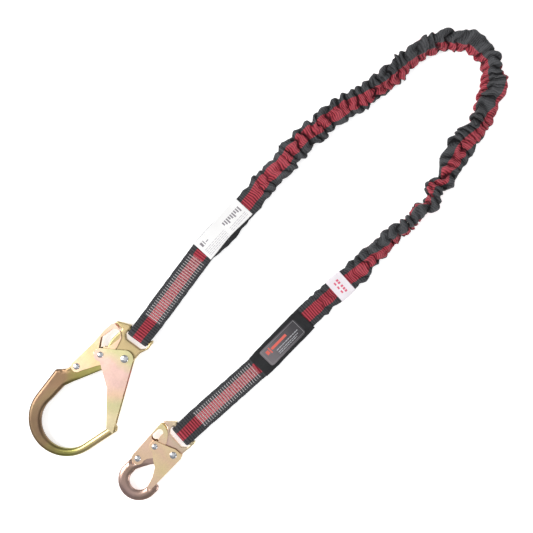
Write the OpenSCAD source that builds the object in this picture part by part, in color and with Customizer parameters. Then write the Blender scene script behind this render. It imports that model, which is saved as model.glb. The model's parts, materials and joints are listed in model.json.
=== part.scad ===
// Shock absorbing lanyard: a gathered stretch webbing with a large rebar hook on one end
// and a small snap hook on the other. It lies flat on Z = 0 in one long U, hooks at -X.

/* [Webbing] */
// Width of the webbing
web_w = 38; // [32:1:46]
// Thickness of one ply of the flattened tubular webbing
web_t = 3.5; // [2.5:0.1:4.5]
// Wall of the tubular jacket
jacket_wall = 1.4; // [0.8:0.1:1.6]
// Fullness of the gathered jacket, the thickness that its folds stand to
jacket_full = 17; // [10:1:22]
// Width of the energy absorbing core strap inside the jacket
core_w = 26; // [16:1:28]
// Thickness of the core strap
core_t = 1.5; // [0.8:0.1:1.8]
// Width of the elastic strap that gathers the jacket
elastic_w = 20; // [12:1:26]
// Thickness of the elastic strap
elastic_t = 0.9; // [0.6:0.1:1.1]
// Length of each sewn end, from the middle of the eye bar to the end of the folded ply
sewn_l = 152; // [130:1:170]

/* [Stitching] */
// Number of stitch rows in each block
stitch_rows = 28; // [16:1:40]
// Width of the stitched block
stitch_w = 28; // [20:1:31]
// Height that a thread stands above the webbing
stitch_h = 0.4; // [0.2:0.1:0.8]

/* [Labels] */
// Length of the white warning label
label_l = 97; // [60:1:110]
// Width of the white warning label
label_w = 36; // [20:1:37]
// Distance that the label's loose backing stands out past the webbing's edge
flap_out = 8; // [3:1:12]
// Length of the fabric sleeve over the webbing
sleeve_l = 107; // [80:1:115]
// Thickness of the sleeve's cloth
sleeve_t = 0.8; // [0.4:0.1:1.5]
// Length of the patch on the sleeve
patch_l = 76; // [40:1:80]
// Width of the patch on the sleeve
patch_w = 30; // [20:1:36]
// Length of the inspection band along the webbing
band_l = 28; // [15:1:40]
// Thickness of labels, patch and band
label_t = 0.7; // [0.4:0.1:1.2]

/* [Rebar hook] */
// Thickness of the forged body
rebar_t = 10; // [8:0.5:14]
// Inside radius of the bowl
rebar_bowl_r = 43; // [36:1:52]
// Width of the bar on the nose side of the bowl
rebar_bar_w = 12; // [9:1:16]
// Width of the bar on the back of the bowl
rebar_back_w = 22; // [16:1:26]
// Distance from the gate pivot down to the middle of the bowl
rebar_reach = 131; // [120:1:145]
// Length of the straight nose arm
rebar_nose_l = 58; // [48:1:66]
// Radius of the gate rivet's shank
rebar_pivot_r = 4; // [3:0.25:4.5]
// Opening angle of the gate
rebar_gate_open = 32; // [20:1:34]

/* [Snap hook] */
// Thickness of the forged body
snap_t = 8; // [7:0.5:12]
// Inside radius of the bowl
snap_bowl_r = 15.6; // [13:0.1:18.8]
// Width of the bar on the nose side of the bowl
snap_bar_w = 16; // [12:1:19]
// Width of the bar on the back of the bowl
snap_back_w = 18; // [14:1:22]
// Distance from the gate pivot down to the middle of the bowl
snap_reach = 66; // [60:1:76]
// Radius of the gate rivet's shank
snap_pivot_r = 3.5; // [2.5:0.25:4]
// Opening angle of the gate
snap_gate_open = 18; // [12:1:20]

/* [Gates and locks] */
// Thickness of the gate's sheet
gate_t = 1.8; // [1.2:0.1:2.5]
// Thickness of the lock lever's sheet
lever_t = 1.6; // [1.2:0.1:2.2]
// Gap between two sheets that slide past each other
sheet_gap = 0.3; // [0.2:0.05:0.5]
// Radial clearance of a rivet in its hole
rivet_gap = 0.05; // [0.02:0.01:0.1]
// Height of a rivet's domed head
head_h = 2.2; // [1.4:0.1:3]
// Radius of the catch pin
catch_r = 3; // [2:0.25:3.5]
// Radius of the spring wire
wire_r = 0.6; // [0.4:0.05:0.7]
// Radius of the eye bar that the webbing wraps round
eye_r = 4.5; // [3.5:0.25:5.5]
// Gap between the eye bar and the webbing loop
eye_gap = 0.5; // [0.3:0.1:1]

/* [Hidden] */
$fn = 64;

// Where the two eye bars are on the floor plan, and the heading of each sewn end
rebar_bar = [-237, 68];
rebar_heading = 8.5;
snap_bar = [-297, -88];
snap_heading = -3.5;

// The route of the gathered jacket between the sewn ends.
// Each point is X, Y, roll about the route, width and thickness share (0 flat, 1 full).
route = [
    [-56, 94, 0, 0], [-16, 95, 0, 0], [22, 95, 0, 0], [60, 98, 0, 0.8],
    [100, 101, -8, 1], [144, 103, 5, 1], [184, 100, 10, 1], [224, 97, 0, 1],
    [264, 88, 12, 1], [304, 80, 25, 1], [344, 78, 40, 1], [384, 74, 55, 1],
    [419, 62, 62, 1], [442, 40, 65, 1], [453, 12, 65, 1], [450, -18, 60, 1],
    [434, -40, 40, 1], [409, -56, 10, 1], [379, -68, -20, 1], [344, -75, -15, 1],
    [304, -84, 0, 1], [269, -94, 20, 1], [239, -101, 55, 1], [209, -105, 90, 1],
    [179, -103, 110, 1], [149, -99, 130, 1], [114, -99, 160, 1], [79, -101, 175, 0.8],
    [40, -99, 180, 0.3], [4, -97, 180, 0.5], [-32, -95, 180, 0], [-86, -96, 180, 0]
];
route_steps = 2;      // rings for each stretch between two points
tube_sides = 12;      // corners of the jacket's section
strap_sides = 4;      // corners of a flat strap's section

// Heights of the stacked layers, measured from the middle of a hook
function lever_z(t) = t / 2 + sheet_gap;
function gate_z(t) = lever_z(t) + lever_t + sheet_gap;
function stack(t) = gate_z(t) + gate_t + sheet_gap / 2 + head_h;
rebar_z = stack(rebar_t);
snap_z = stack(snap_t);

// Directions and turns on the plane
function turn(p, a) = [p[0] * cos(a) - p[1] * sin(a), p[0] * sin(a) + p[1] * cos(a)];
function about(p, c, a) = c + turn(p - c, a);
function unit(a) = [cos(a), sin(a)];
function arc(c, r, a0, a1, n) = [for (i = [0:n]) c + r * unit(a0 + (a1 - a0) * i / n)];

// The direction from c of the point where a tangent from p touches the circle c, r; side is 1 or -1
function touch_angle(p, c, r, side) =
    let (d = p - c) atan2(d[1], d[0]) + side * acos(r / norm(d));
// The outline of a band of half width r along the points p, with round ends
function band_sides(p, r, side) = [for (i = [0:len(p) - 1])
    let (d = p[min(i + 1, len(p) - 1)] - p[max(i - 1, 0)]) p[i] + side * r * turn(d, 90) / norm(d)];
function end_cap(a, b, r) =
    let (d = b - a, h = atan2(d[1], d[0])) arc(b, r, h + 80, h - 80, 10);
function round_band(p, r) = concat(
    band_sides(p, r, 1), end_cap(p[len(p) - 2], p[len(p) - 1], r),
    band_sides([for (i = [len(p) - 1:-1:0]) p[i]], r, 1), end_cap(p[1], p[0], r));

// Where each leg's folded ply ends and the open jacket starts
function leg_end(bar, heading) = bar + sewn_l * unit(heading);

// ---------------------------------------------------------------- the free webbing

leg_lead = 14;        // straight run of the jacket out of a sewn end
jacket_ends = [leg_end(rebar_bar, rebar_heading), leg_end(snap_bar, snap_heading)];
full_route = concat(
    [concat(jacket_ends[0], [0, 0])],
    [concat(jacket_ends[0] + leg_lead * unit(rebar_heading), [0, 0])],
    route,
    [concat(jacket_ends[1] + leg_lead * unit(snap_heading), [180, 0])],
    [concat(jacket_ends[1], [180, 0])]
);
last = len(full_route) - 1;

function knot(i) = full_route[min(max(i, 0), last)];
function spline(a, b, c, d, t) =
    0.5 * (2 * b + (c - a) * t + (2 * a - 5 * b + 4 * c - d) * t * t
    + (3 * b - a - 3 * c + d) * t * t * t);
rings = [
    for (i = [0:last - 1]) for (k = [0:route_steps - 1])
        spline(knot(i - 1), knot(i), knot(i + 1), knot(i + 2), k / route_steps),
    full_route[last]
];
ring_count = len(rings);

// The travelling direction at ring i
function heading(i) =
    i == 0 ? rebar_heading
    : i == ring_count - 1 ? snap_heading + 180
    : let (d = rings[i + 1] - rings[i - 1]) atan2(d[1], d[0]);

flat_t = 2 * web_t;
function share(i) = min(max(rings[i][3], 0), 1);
function ring_t(i) = flat_t + (jacket_full - flat_t) * share(i);
function ring_w(i) = web_w + 2 * share(i);

// A flattened round section: sides points, width w and thickness t, its middle raised by off
function power(v, e) = sign(v) * pow(abs(v), e);
function section(w, t, off, sides) = sides == 4
    ? [[w / 2, off - t / 2], [w / 2, off + t / 2], [-w / 2, off + t / 2], [-w / 2, off - t / 2]]
    : [for (k = [0:sides - 1]) let (a = (k + 0.5) * 360 / sides)
        [w / 2 * power(cos(a), 0.6), off + t / 2 * power(sin(a), 0.6)]];

// Half of the height that ring i of the jacket stands to, once it is rolled
function half_height(i) = max([for (p = section(ring_w(i), ring_t(i), 0, tube_sides))
    p[0] * sin(rings[i][2]) + p[1] * cos(rings[i][2])]);

// A section placed on the route
function placed(i, pts) =
    let (r = rings[i][2], h = heading(i), z = stitch_h + half_height(i))
    [for (p = pts) let (a = p[0] * cos(r) - p[1] * sin(r), b = p[0] * sin(r) + p[1] * cos(r))
        [rings[i][0] - a * sin(h), rings[i][1] + a * cos(h), z + b]];

// Faces of a tube with n rings of s points; first is the number of its first point.
// The quads of its second half are cut along the other diagonal, so that the two faces
// of a twisted strap warp alike.
function cut_quad(a, b, s, first_half) = first_half
    ? [[a, b + s, b], [a, a + s, b + s]]
    : [[a, a + s, b], [a + s, b + s, b]];
function skin(n, s, first, flip) = [
    for (i = [0:n - 2]) for (k = [0:s - 1])
        let (a = first + i * s + k, b = first + i * s + (k + 1) % s)
        for (f = cut_quad(a, b, s, k < s / 2)) flip ? [f[0], f[2], f[1]] : f
];
function end_ring(a, b, s, flip) = [
    for (k = [0:s - 1]) let (l = (k + 1) % s)
        each flip ? [[a + k, b + l, a + l], [a + k, b + k, b + l]]
                  : [[a + k, a + l, b + l], [a + k, b + l, b + k]]
];

module stretch_jacket() color([0.16, 0.16, 0.18]) {
    outer = [for (i = [0:ring_count - 1])
        each placed(i, section(ring_w(i), ring_t(i), 0, tube_sides))];
    inner = [for (i = [0:ring_count - 1]) each placed(i, section(
        ring_w(i) - 2 * jacket_wall, ring_t(i) - 2 * jacket_wall, 0, tube_sides))];
    n = ring_count * tube_sides;
    polyhedron(concat(outer, inner), concat(
        skin(ring_count, tube_sides, 0, false),
        skin(ring_count, tube_sides, n, true),
        end_ring(0, n, tube_sides, false),
        end_ring(n - tube_sides, 2 * n - tube_sides, tube_sides, true)), convexity = 10);
}

// A flat strap that follows the jacket inside it
module inner_strap(w, t, off) {
    polyhedron(
        [for (i = [0:ring_count - 1]) each placed(i, section(w, t, off, strap_sides))],
        concat(
            skin(ring_count, strap_sides, 0, false),
            [[0, 1, 2], [0, 2, 3]],
            [[4 * ring_count - 4, 4 * ring_count - 2, 4 * ring_count - 3],
             [4 * ring_count - 4, 4 * ring_count - 1, 4 * ring_count - 2]]),
        convexity = 10);
}
// The room left inside the flat jacket is shared between the two straps' gap and their outsides
strap_gap = 0.5 * (flat_t - 2 * jacket_wall - core_t - elastic_t);
module core_strap() color([0.93, 0.9, 0.8])
    inner_strap(core_w, core_t, -(strap_gap + elastic_t) / 2);
module elastic_strap() color([0.75, 0.74, 0.7])
    inner_strap(elastic_w, elastic_t, (strap_gap + core_t) / 2);

// ---------------------------------------------------------------- sewn ends

loop_in = eye_r + eye_gap;
loop_out = loop_in + web_t;
flat_from = 30;       // where the two plies lie flat, measured from the bar
plies_meet = 22;      // where the two plies come together
loop_steps = 24;      // flats of the round part of the loop

// The side view of a sewn end: bar at the origin height bar_z, webbing towards +X
module end_profile(bar_z) {
    bar = [0, bar_z];
    low = [flat_from, stitch_h];
    high = [flat_from, stitch_h + flat_t];
    meet = [plies_meet, stitch_h + web_t + (bar_z - stitch_h - web_t) * 0.2];
    difference() {
        polygon(concat([low, [sewn_l, stitch_h], [sewn_l, stitch_h + flat_t], high],
            arc(bar, loop_out, touch_angle(high, bar, loop_out, 1),
                touch_angle(low, bar, loop_out, -1) + 360, loop_steps)));
        polygon(concat([meet], arc(bar, loop_in, touch_angle(meet, bar, loop_in, 1),
            touch_angle(meet, bar, loop_in, -1) + 360, loop_steps)));
    }
}
module on_leg(bar, heading) translate([bar[0], bar[1], 0]) rotate([0, 0, heading]) children();
module sewn_end(bar, heading, bar_z) on_leg(bar, heading)
    translate([0, web_w / 2, 0]) rotate([90, 0, 0]) linear_extrude(web_w) end_profile(bar_z);
module rebar_end_loop() color([0.2, 0.2, 0.22]) sewn_end(rebar_bar, rebar_heading, rebar_z);
module snap_end_loop() color([0.2, 0.2, 0.22]) sewn_end(snap_bar, snap_heading, snap_z);

// Rows of thread on the top and the bottom of the two flat plies
thread_w = 1.1;
thread_margin = 3;    // from the last row to the end of the plies, and from the flat to the first
thread_first = flat_from + thread_margin;
thread_step = (sewn_l - thread_margin - thread_w - thread_first) / (stitch_rows - 1);
module stitching(bar, heading) on_leg(bar, heading)
    for (i = [0:stitch_rows - 1], z = [0, stitch_h + flat_t])
        translate([thread_first + i * thread_step, -stitch_w / 2, z])
            cube([thread_w, stitch_w, stitch_h]);
module rebar_end_stitching() color([0.8, 0.74, 0.74]) stitching(rebar_bar, rebar_heading);
module snap_end_stitching() color([0.8, 0.74, 0.74]) stitching(snap_bar, snap_heading);

// ---------------------------------------------------------------- labels

label_from = 12;      // start of the label past the sewn end
label_turn = -6;      // the label's heading, measured from the sewn end's
label_z = stitch_h + flat_t + 0.1;
module on_label() on_leg(jacket_ends[0], rebar_heading)
    translate([label_from, 0, label_z]) rotate([0, 0, label_turn]) children();
module label_backing() color([0.14, 0.14, 0.15]) on_label() {
    bulge_r = (pow(label_l / 2, 2) + pow(flap_out, 2)) / (2 * flap_out);
    linear_extrude(label_t) union() {
        translate([0, -label_w / 2]) square([label_l, label_w]);
        intersection() {
            translate([label_l / 2, -label_w / 2 - flap_out + bulge_r]) circle(bulge_r, $fn = 128);
            translate([0, -label_w / 2 - flap_out]) square([label_l, flap_out + 1]);
        }
    }
}
module warning_label() color([0.93, 0.93, 0.93]) on_label()
    translate([0, -label_w / 2, label_t]) cube([label_l, label_w, label_t]);

sleeve_from = 4;      // start of the sleeve past the sewn end
sleeve_gap = 0.3;
// The sleeve is a flat tube round the jacket
module on_sleeve() on_leg(jacket_ends[1], snap_heading)
    translate([sleeve_from, 0, 0]) rotate([0, 0, 4]) children();
sleeve_in_w = web_w + 2 * sleeve_gap + 3;
sleeve_top = stitch_h + flat_t + sleeve_gap;
module label_sleeve() color([0.12, 0.12, 0.13]) on_sleeve() difference() {
    translate([0, -sleeve_in_w / 2 - sleeve_t, 0])
        cube([sleeve_l, sleeve_in_w + 2 * sleeve_t, sleeve_top + sleeve_t]);
    translate([-1, -sleeve_in_w / 2, stitch_h - sleeve_gap])
        cube([sleeve_l + 2, sleeve_in_w, sleeve_top - stitch_h + sleeve_gap]);
}
patch_from = 17;
patch_corner = 4;
module sleeve_patch() color([0.05, 0.05, 0.06]) on_sleeve()
    translate([patch_from, -patch_w / 2, sleeve_top + sleeve_t]) linear_extrude(label_t) union() {
        translate([patch_corner, 0]) square([patch_l - 2 * patch_corner, patch_w]);
        translate([0, patch_corner]) square([patch_l, patch_w - 2 * patch_corner]);
        for (x = [patch_corner, patch_l - patch_corner])
            for (y = [patch_corner, patch_w - patch_corner])
                translate([x, y]) circle(patch_corner);
    }

// The band wraps the jacket at the route point where the folds are drawn flat
band_at = 28;
band_t = flat_t + (jacket_full - flat_t) * 0.3;
band_gap = 1.2;
module inspection_band() color([0.95, 0.9, 0.92])
    translate([route[band_at][0], route[band_at][1], 0]) rotate([0, 0, 177])
        difference() {
            band_in_w = web_w + 2 * band_gap + 1;
            band_in_h = band_t + 2 * band_gap;
            translate([-band_l / 2, -band_in_w / 2 - label_t, 0])
                cube([band_l, band_in_w + 2 * label_t, band_in_h + label_t + 0.1]);
            translate([-band_l, -band_in_w / 2, 0.1]) cube([2 * band_l, band_in_w, band_in_h]);
        }

// ---------------------------------------------------------------- hooks
// Each hook is drawn with its gate pivot at the origin, its eye towards +Y, its bowl
// towards -Y and its lock lever on the -X side, then placed so that the webbing's loop
// holds its eye bar.

module place(bar, heading, z, eye, tilt)
    translate([bar[0], bar[1], z]) rotate([0, 0, heading - tilt - 90])
        translate([-eye[0], -eye[1], 0]) children();
module slab(t) linear_extrude(t, center = true) children();
// The same sheet on both sides of the middle plane, from height z to z + t
module pair(z, t) for (side = [-1, 1])
    translate([0, 0, side > 0 ? z : -z - t]) linear_extrude(t) children();
module disc(c, r) translate(c) circle(r);
module drill(c, r, h) translate([c[0], c[1], 0]) cylinder(h = h, r = r, center = true);

// A rivet: shank of radius r that ends in two domed heads at height z
module rivet(c, r, z, head_r) translate([c[0], c[1], 0]) {
    dome_r = (head_r * head_r + head_h * head_h) / (2 * head_h);
    cylinder(h = 2 * z + 0.2, r = r, center = true);
    for (side = [0, 1]) mirror([0, 0, side]) translate([0, 0, z]) intersection() {
        translate([0, 0, head_h - dome_r]) sphere(dome_r);
        cylinder(h = head_h + 1, r = head_r);
    }
}

// A torsion spring round c: a wire foot, a coil and a wire leg, swept as one tube.
// The coil turns from foot_a to leg_a + 180 * 5; both wires leave it at a tangent.
coil_gap = 0.35;
coil_turns = 2;       // whole turns, besides the part turn between the two wires
coil_steps = 14;      // rings for each turn
wire_sides = 8;
function coil_r(shank_r) = shank_r + coil_gap + wire_r;
coil_pitch = 2.2 * wire_r;
wire_rest = 0.1;      // gap between a spring's leg and the catch pin that it pushes
// The angle at which a gate spring's leg leaves the coil to rest on the catch pin
function pin_leg(catch, shank_r) = atan2(catch[1], catch[0])
    - acos((coil_r(shank_r) - catch_r - wire_r - wire_rest) / norm(catch));
function coil_path(r, leg_a, leg_l, foot_a, foot_l) =
    let (sweep = 360 * coil_turns + (leg_a - foot_a + 720) % 360, n = round(coil_steps * sweep / 360),
        rise = coil_pitch * sweep / 360)
    concat(
        [concat(r * unit(foot_a) - foot_l * unit(foot_a + 90), -rise / 2)],
        [for (i = [0:n]) concat(r * unit(foot_a + sweep * i / n), rise * (i / n - 0.5))],
        [concat(r * unit(leg_a) + leg_l * unit(leg_a + 90), rise / 2)]);
module torsion_spring(c, shank_r, leg_a, leg_l, foot_a, foot_l) translate([c[0], c[1], 0]) {
    path = coil_path(coil_r(shank_r), leg_a, leg_l, foot_a, foot_l);
    n = len(path);
    points = [for (i = [0:n - 1])
        let (d = path[min(i + 1, n - 1)] - path[max(i - 1, 0)], out = [d[1], -d[0], 0] / norm([d[0], d[1]]),
            up = cross(out, d) / norm(cross(out, d)))
        for (k = [0:wire_sides - 1]) let (a = 360 * k / wire_sides)
            path[i] + wire_r * (out * cos(a) + up * sin(a))];
    cap = [for (k = [1:wire_sides - 2]) [0, k, k + 1]];
    far = wire_sides * (n - 1);
    polyhedron(points, concat(
        skin(n, wire_sides, 0, true), [for (f = cap) [f[0], f[2], f[1]]],
        [for (f = cap) [far + f[0], far + f[1], far + f[2]]]), convexity = 10);
}
// Half the height of the coil, and the pocket and the leg slots that it turns in
pocket_h = coil_pitch * 3 + 2 * wire_r + 0.4;
module spring_pocket(c, shank_r) drill(c, coil_r(shank_r) + wire_r + 0.5, pocket_h);

// The middle of the catch pin in the lever's own frame, as both turn open by share u
function pin_in_lever(catch, at, open, squeeze, u) =
    about(about(catch, [0, 0], -u * open), at, u * squeeze);
pin_gap = 0.35;
slot_steps = 8;
module pin_slot(catch, at, open, squeeze) polygon(round_band(
    [for (i = [0:slot_steps]) pin_in_lever(catch, at, open, squeeze, i / slot_steps)],
    catch_r + pin_gap));
// The eye: the slot for the webbing, with cut corners, in the eye bar's own frame
slot_side = 0.5;
slot_w = web_w + 2 * slot_side;
slot_low = loop_out + 7;
rim_w = 3.5;
module eye_slot() {
    polygon([[-slot_w / 2, 20], [-slot_w / 2, 6 - slot_low], [6 - slot_w / 2, -slot_low],
        [slot_w / 2 - 6, -slot_low], [slot_w / 2, 6 - slot_low], [slot_w / 2, 20]]);
}
module at_eye(eye, tilt) translate([eye[0], eye[1], 0]) rotate([0, 0, tilt]) children();
module eye_bar(eye, tilt) at_eye(eye, tilt) rotate([0, 90, 0])
    cylinder(h = slot_w + rim_w, r = eye_r, center = true);
// A point on the eye's outer side, measured from the slot's side and from the eye bar
function eye_side(eye, tilt, out, along) = eye + turn([slot_w / 2 + out, along], tilt);

lever_rivet_r = 3;
lever_head_r = 5;
catch_head_r = 4.7;
gate_head_r = 6.2;

// ---------------------------------------------------------------- rebar hook

rebar_bowl = [-13, -rebar_reach];
rebar_catch = [-34, -17];
rebar_lever_at = [-53, -54];
rebar_squeeze = 8;
rebar_eye = [-2.5, 41];
rebar_tilt = 0;
rebar_nose_turn = 70;
rebar_overlap = 12;   // how far the nose reaches into the gate
rebar_disc_r = rebar_bowl_r + (rebar_bar_w + rebar_back_w) / 2;
rebar_disc = rebar_bowl + [-(rebar_back_w - rebar_bar_w) / 2, 2];
rebar_nose_in = rebar_bowl + rebar_bowl_r * unit(rebar_nose_turn - 90);
rebar_nose_out = rebar_bowl + (rebar_bowl_r + rebar_bar_w) * unit(rebar_nose_turn - 90);
rebar_nose_end = rebar_nose_in + rebar_nose_l * unit(rebar_nose_turn);
rebar_nose_mark = rebar_nose_end - rebar_overlap * unit(rebar_nose_turn);

module on_rebar() place(rebar_bar, rebar_heading, rebar_z, rebar_eye, rebar_tilt) children();

module rebar_outline() {
    at = rebar_lever_at;
    edge = 90 - rebar_squeeze - 10;           // direction of the edge behind the lever's spine
    sweep = norm([-46.5, 36.3] - at);         // outside the arc of the lever's top end
    disc(rebar_disc, rebar_disc_r);
    disc([0, 0], 12);
    disc(at, 6.5);
    polygon([
        rebar_disc + [-rebar_disc_r, 2], [rebar_disc[0] - rebar_disc_r + 1, -78], at + [-11, -14],
        at + 6 * unit(edge + 90), at + 6 * unit(edge + 90) + 26 * unit(edge),
        [-38, -24.5], [-31.5, -22.5], [-29.5, -17], [-30.5, -10], [-33, -2], [-34.2, 5], [-34.5, 13],
        each arc(at, sweep, 76, 85.9, 4),
        [-44, 40], [-24, 47.5],
        eye_side(rebar_eye, rebar_tilt, rim_w - 1.3, 6.5), eye_side(rebar_eye, rebar_tilt, rim_w, 4),
        eye_side(rebar_eye, rebar_tilt, rim_w, -8), eye_side(rebar_eye, rebar_tilt, -3, -21),
        [12, 0], [4, -11.3], [-19, -37], [-44, -78],
        [rebar_bowl[0] - rebar_bowl_r + 2, rebar_bowl[1]]
    ]);
    polygon([rebar_nose_in - 6 * unit(rebar_nose_turn), rebar_nose_out,
        rebar_nose_out + (rebar_nose_l - 4) * unit(rebar_nose_turn),
        rebar_nose_end + (rebar_bar_w - 5) * unit(rebar_nose_turn - 90), rebar_nose_end]);
}
module rebar_hook_body() color([0.72, 0.66, 0.42]) on_rebar() {
    difference() {
        slab(rebar_t) rebar_outline();
        drill(rebar_bowl, rebar_bowl_r, rebar_t + 2);
        slab(rebar_t + 2) polygon([
            rebar_bowl + [-rebar_bowl_r + 0.4, 2], rebar_bowl + [-rebar_bowl_r + 5, 40],
            [-44, -78], [-19, -37], [rebar_nose_end[0], -37], rebar_nose_end,
            rebar_nose_in, rebar_bowl]);
        slab(rebar_t + 2) at_eye(rebar_eye, rebar_tilt) eye_slot();
        drill([0, 0], rebar_pivot_r + rivet_gap, rebar_t + 2);
        drill(rebar_lever_at, lever_rivet_r + rivet_gap, rebar_t + 2);
        spring_pocket([0, 0], rebar_pivot_r);
        spring_pocket(rebar_lever_at, lever_rivet_r);
        // room for the springs' legs
        slab(pocket_h) polygon([[0, 0], [-42, -21], [-48, 12], [0, 7]]);
        slab(pocket_h) polygon([[0, 0], [-2, -30], [14, -30], [16, 0]]);
        slab(pocket_h) polygon([rebar_lever_at, rebar_lever_at + [-20, 26],
            rebar_lever_at + [2, 26], rebar_lever_at + [5, 0]]);
        slab(pocket_h) polygon([rebar_lever_at, rebar_lever_at + [-20, -3],
            rebar_lever_at + [-16, -20], rebar_lever_at + [0, -9]]);
    }
    eye_bar(rebar_eye, rebar_tilt);
}

// The gate's web lies against the nose, and its sheets straddle it
rebar_web_gap = 0.6;
rebar_web_in = [7, -52];
rebar_web_tip = rebar_nose_mark + rebar_web_gap * unit(rebar_nose_turn + 90);
function web_normal(a, b) = turn(b - a, -90) / norm(b - a) * gate_t;
module gate_web(a, b) polygon([a, b, b + web_normal(a, b), a + web_normal(a, b)]);
module rebar_gate_sheet() {
    n = web_normal(rebar_web_in, rebar_web_tip);
    tip = rebar_nose_mark + 0.9 * rebar_bar_w * unit(rebar_nose_turn - 90) + 2 * unit(rebar_nose_turn);
    lobe_r = 10.5;
    boss_r = 13.5;
    in_lobe = lobe_r - 0.2;
    in_boss = boss_r - 0.2;
    difference() {
        union() {
            disc([0, 0], boss_r);
            disc(rebar_catch, lobe_r);
            polygon([rebar_catch + in_lobe * unit(-60), [-16, -36], rebar_web_in + n,
                rebar_web_tip + n, tip, in_boss * unit(touch_angle(tip, [0, 0], in_boss, 1)),
                [0, 0], in_boss * unit(116), rebar_catch + in_lobe * unit(116)]);
        }
        disc([0, 0], rebar_pivot_r + rivet_gap);
        disc(rebar_catch, catch_r + rivet_gap);
    }
}
module rebar_gate() color([0.85, 0.7, 0.62]) on_rebar() {
    z = gate_z(rebar_t);
    pair(z, gate_t) rebar_gate_sheet();
    slab(2 * (z + gate_t)) gate_web(rebar_web_in, rebar_web_tip);
}

module rebar_lever_sheet() {
    at = rebar_lever_at;
    difference() {
        union() {
            disc(at, 8.8);
            polygon([at + [-8.6, 0], [-54, -9], [-52, 17], [-49.5, 30], [-46.5, 34.5],
                each arc([-46, 7], 27.5, 84, 34, 6), [-20.5, 8], [-20.5, -26], [-28, -34],
                at + 8.5 * unit(-50)]);
        }
        disc(at, lever_rivet_r + rivet_gap);
        polygon(round_band([[-39.3, 5.3], [-34.7, 20.7]], 9.5));
        pin_slot(rebar_catch, at, rebar_gate_open, rebar_squeeze);
    }
}
module rebar_lock_lever() color([0.82, 0.7, 0.4]) on_rebar() {
    z = lever_z(rebar_t);
    at = rebar_lever_at;
    pair(z, lever_t) rebar_lever_sheet();
    spine = [at + [-8.6, 0], [-54, -9], [-52, 17], [-49.5, 30]];
    slab(2 * (z + lever_t)) polygon(concat(spine,
        [for (i = [len(spine) - 1:-1:0]) spine[i] + [lever_t, 0]]));
}

module rebar_gate_rivet() color([0.8, 0.8, 0.82]) on_rebar()
    rivet([0, 0], rebar_pivot_r, gate_z(rebar_t) + gate_t + sheet_gap / 2, gate_head_r);
module rebar_lever_rivet() color([0.8, 0.8, 0.82]) on_rebar()
    rivet(rebar_lever_at, lever_rivet_r, lever_z(rebar_t) + lever_t + sheet_gap / 2, lever_head_r);
module rebar_catch_pin() color([0.8, 0.8, 0.82]) on_rebar()
    rivet(rebar_catch, catch_r, gate_z(rebar_t) + gate_t + sheet_gap / 2, catch_head_r);
module rebar_gate_spring() color([0.55, 0.55, 0.58]) on_rebar()
    torsion_spring([0, 0], rebar_pivot_r, pin_leg(rebar_catch, rebar_pivot_r), 39, 20, 9);
module rebar_lever_spring() color([0.55, 0.55, 0.58]) on_rebar()
    torsion_spring(rebar_lever_at, lever_rivet_r, 24.5, 17, 285, 8);

// ---------------------------------------------------------------- snap hook

snap_bowl = [-13.5, -snap_reach];
snap_catch = [-30.5, -9];
snap_lever_at = [-38, -41];
snap_squeeze = 6;
snap_eye = [-10, 33.5];
snap_tilt = -7;
snap_disc_r = snap_bowl_r + (snap_bar_w + snap_back_w) / 2;
snap_disc = snap_bowl + [-(snap_back_w - snap_bar_w) / 2, 0];
snap_seat = 2.6;      // step in the nose that the gate's web closes into
snap_nose_x = snap_bowl[0] + snap_bowl_r + snap_seat;
snap_nose_top = snap_bowl[1] + 13;

module on_snap() place(snap_bar, snap_heading, snap_z, snap_eye, snap_tilt) children();

module snap_outline() {
    at = snap_lever_at;
    edge = 90 - snap_squeeze - 1;
    sweep = norm([-47, 26] - at);
    room = catch_r + 0.7;                     // from the middle of the catch pin to the body
    disc(snap_disc, snap_disc_r);
    disc([0, 0], 9);
    disc(at, 7);
    polygon([
        snap_disc + [-snap_disc_r, 0], at + [-8, -7], at + 7 * unit(edge + 90),
        at + 6.3 * unit(edge + 90) + 18 * unit(edge), [-36, -17.5],
        snap_catch + [room - 1.7, -6], snap_catch + [room, 0], snap_catch + [room - 0.6, 7],
        snap_catch + [room - 1.4, 12], [-30, 9],
        each arc(at, sweep, 88, 97.6, 4),
        [-44, 31], [-30.5, 42], [-18, 41.5],
        eye_side(snap_eye, snap_tilt, rim_w - 1.3, 6.7), eye_side(snap_eye, snap_tilt, rim_w, 3),
        eye_side(snap_eye, snap_tilt, rim_w, -5), eye_side(snap_eye, snap_tilt, 3, -16),
        [9, 0], [0, -20], [-9.6, -28], [-16.5, -35], [-29, -57],
        snap_bowl + [-snap_bowl_r, 0]
    ]);
    polygon([snap_bowl, snap_bowl + [snap_bowl_r + snap_bar_w, -1],
        [snap_nose_x + 14, snap_nose_top - 5], [snap_nose_x + 10, snap_nose_top],
        [snap_nose_x, snap_nose_top]]);
}
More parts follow.
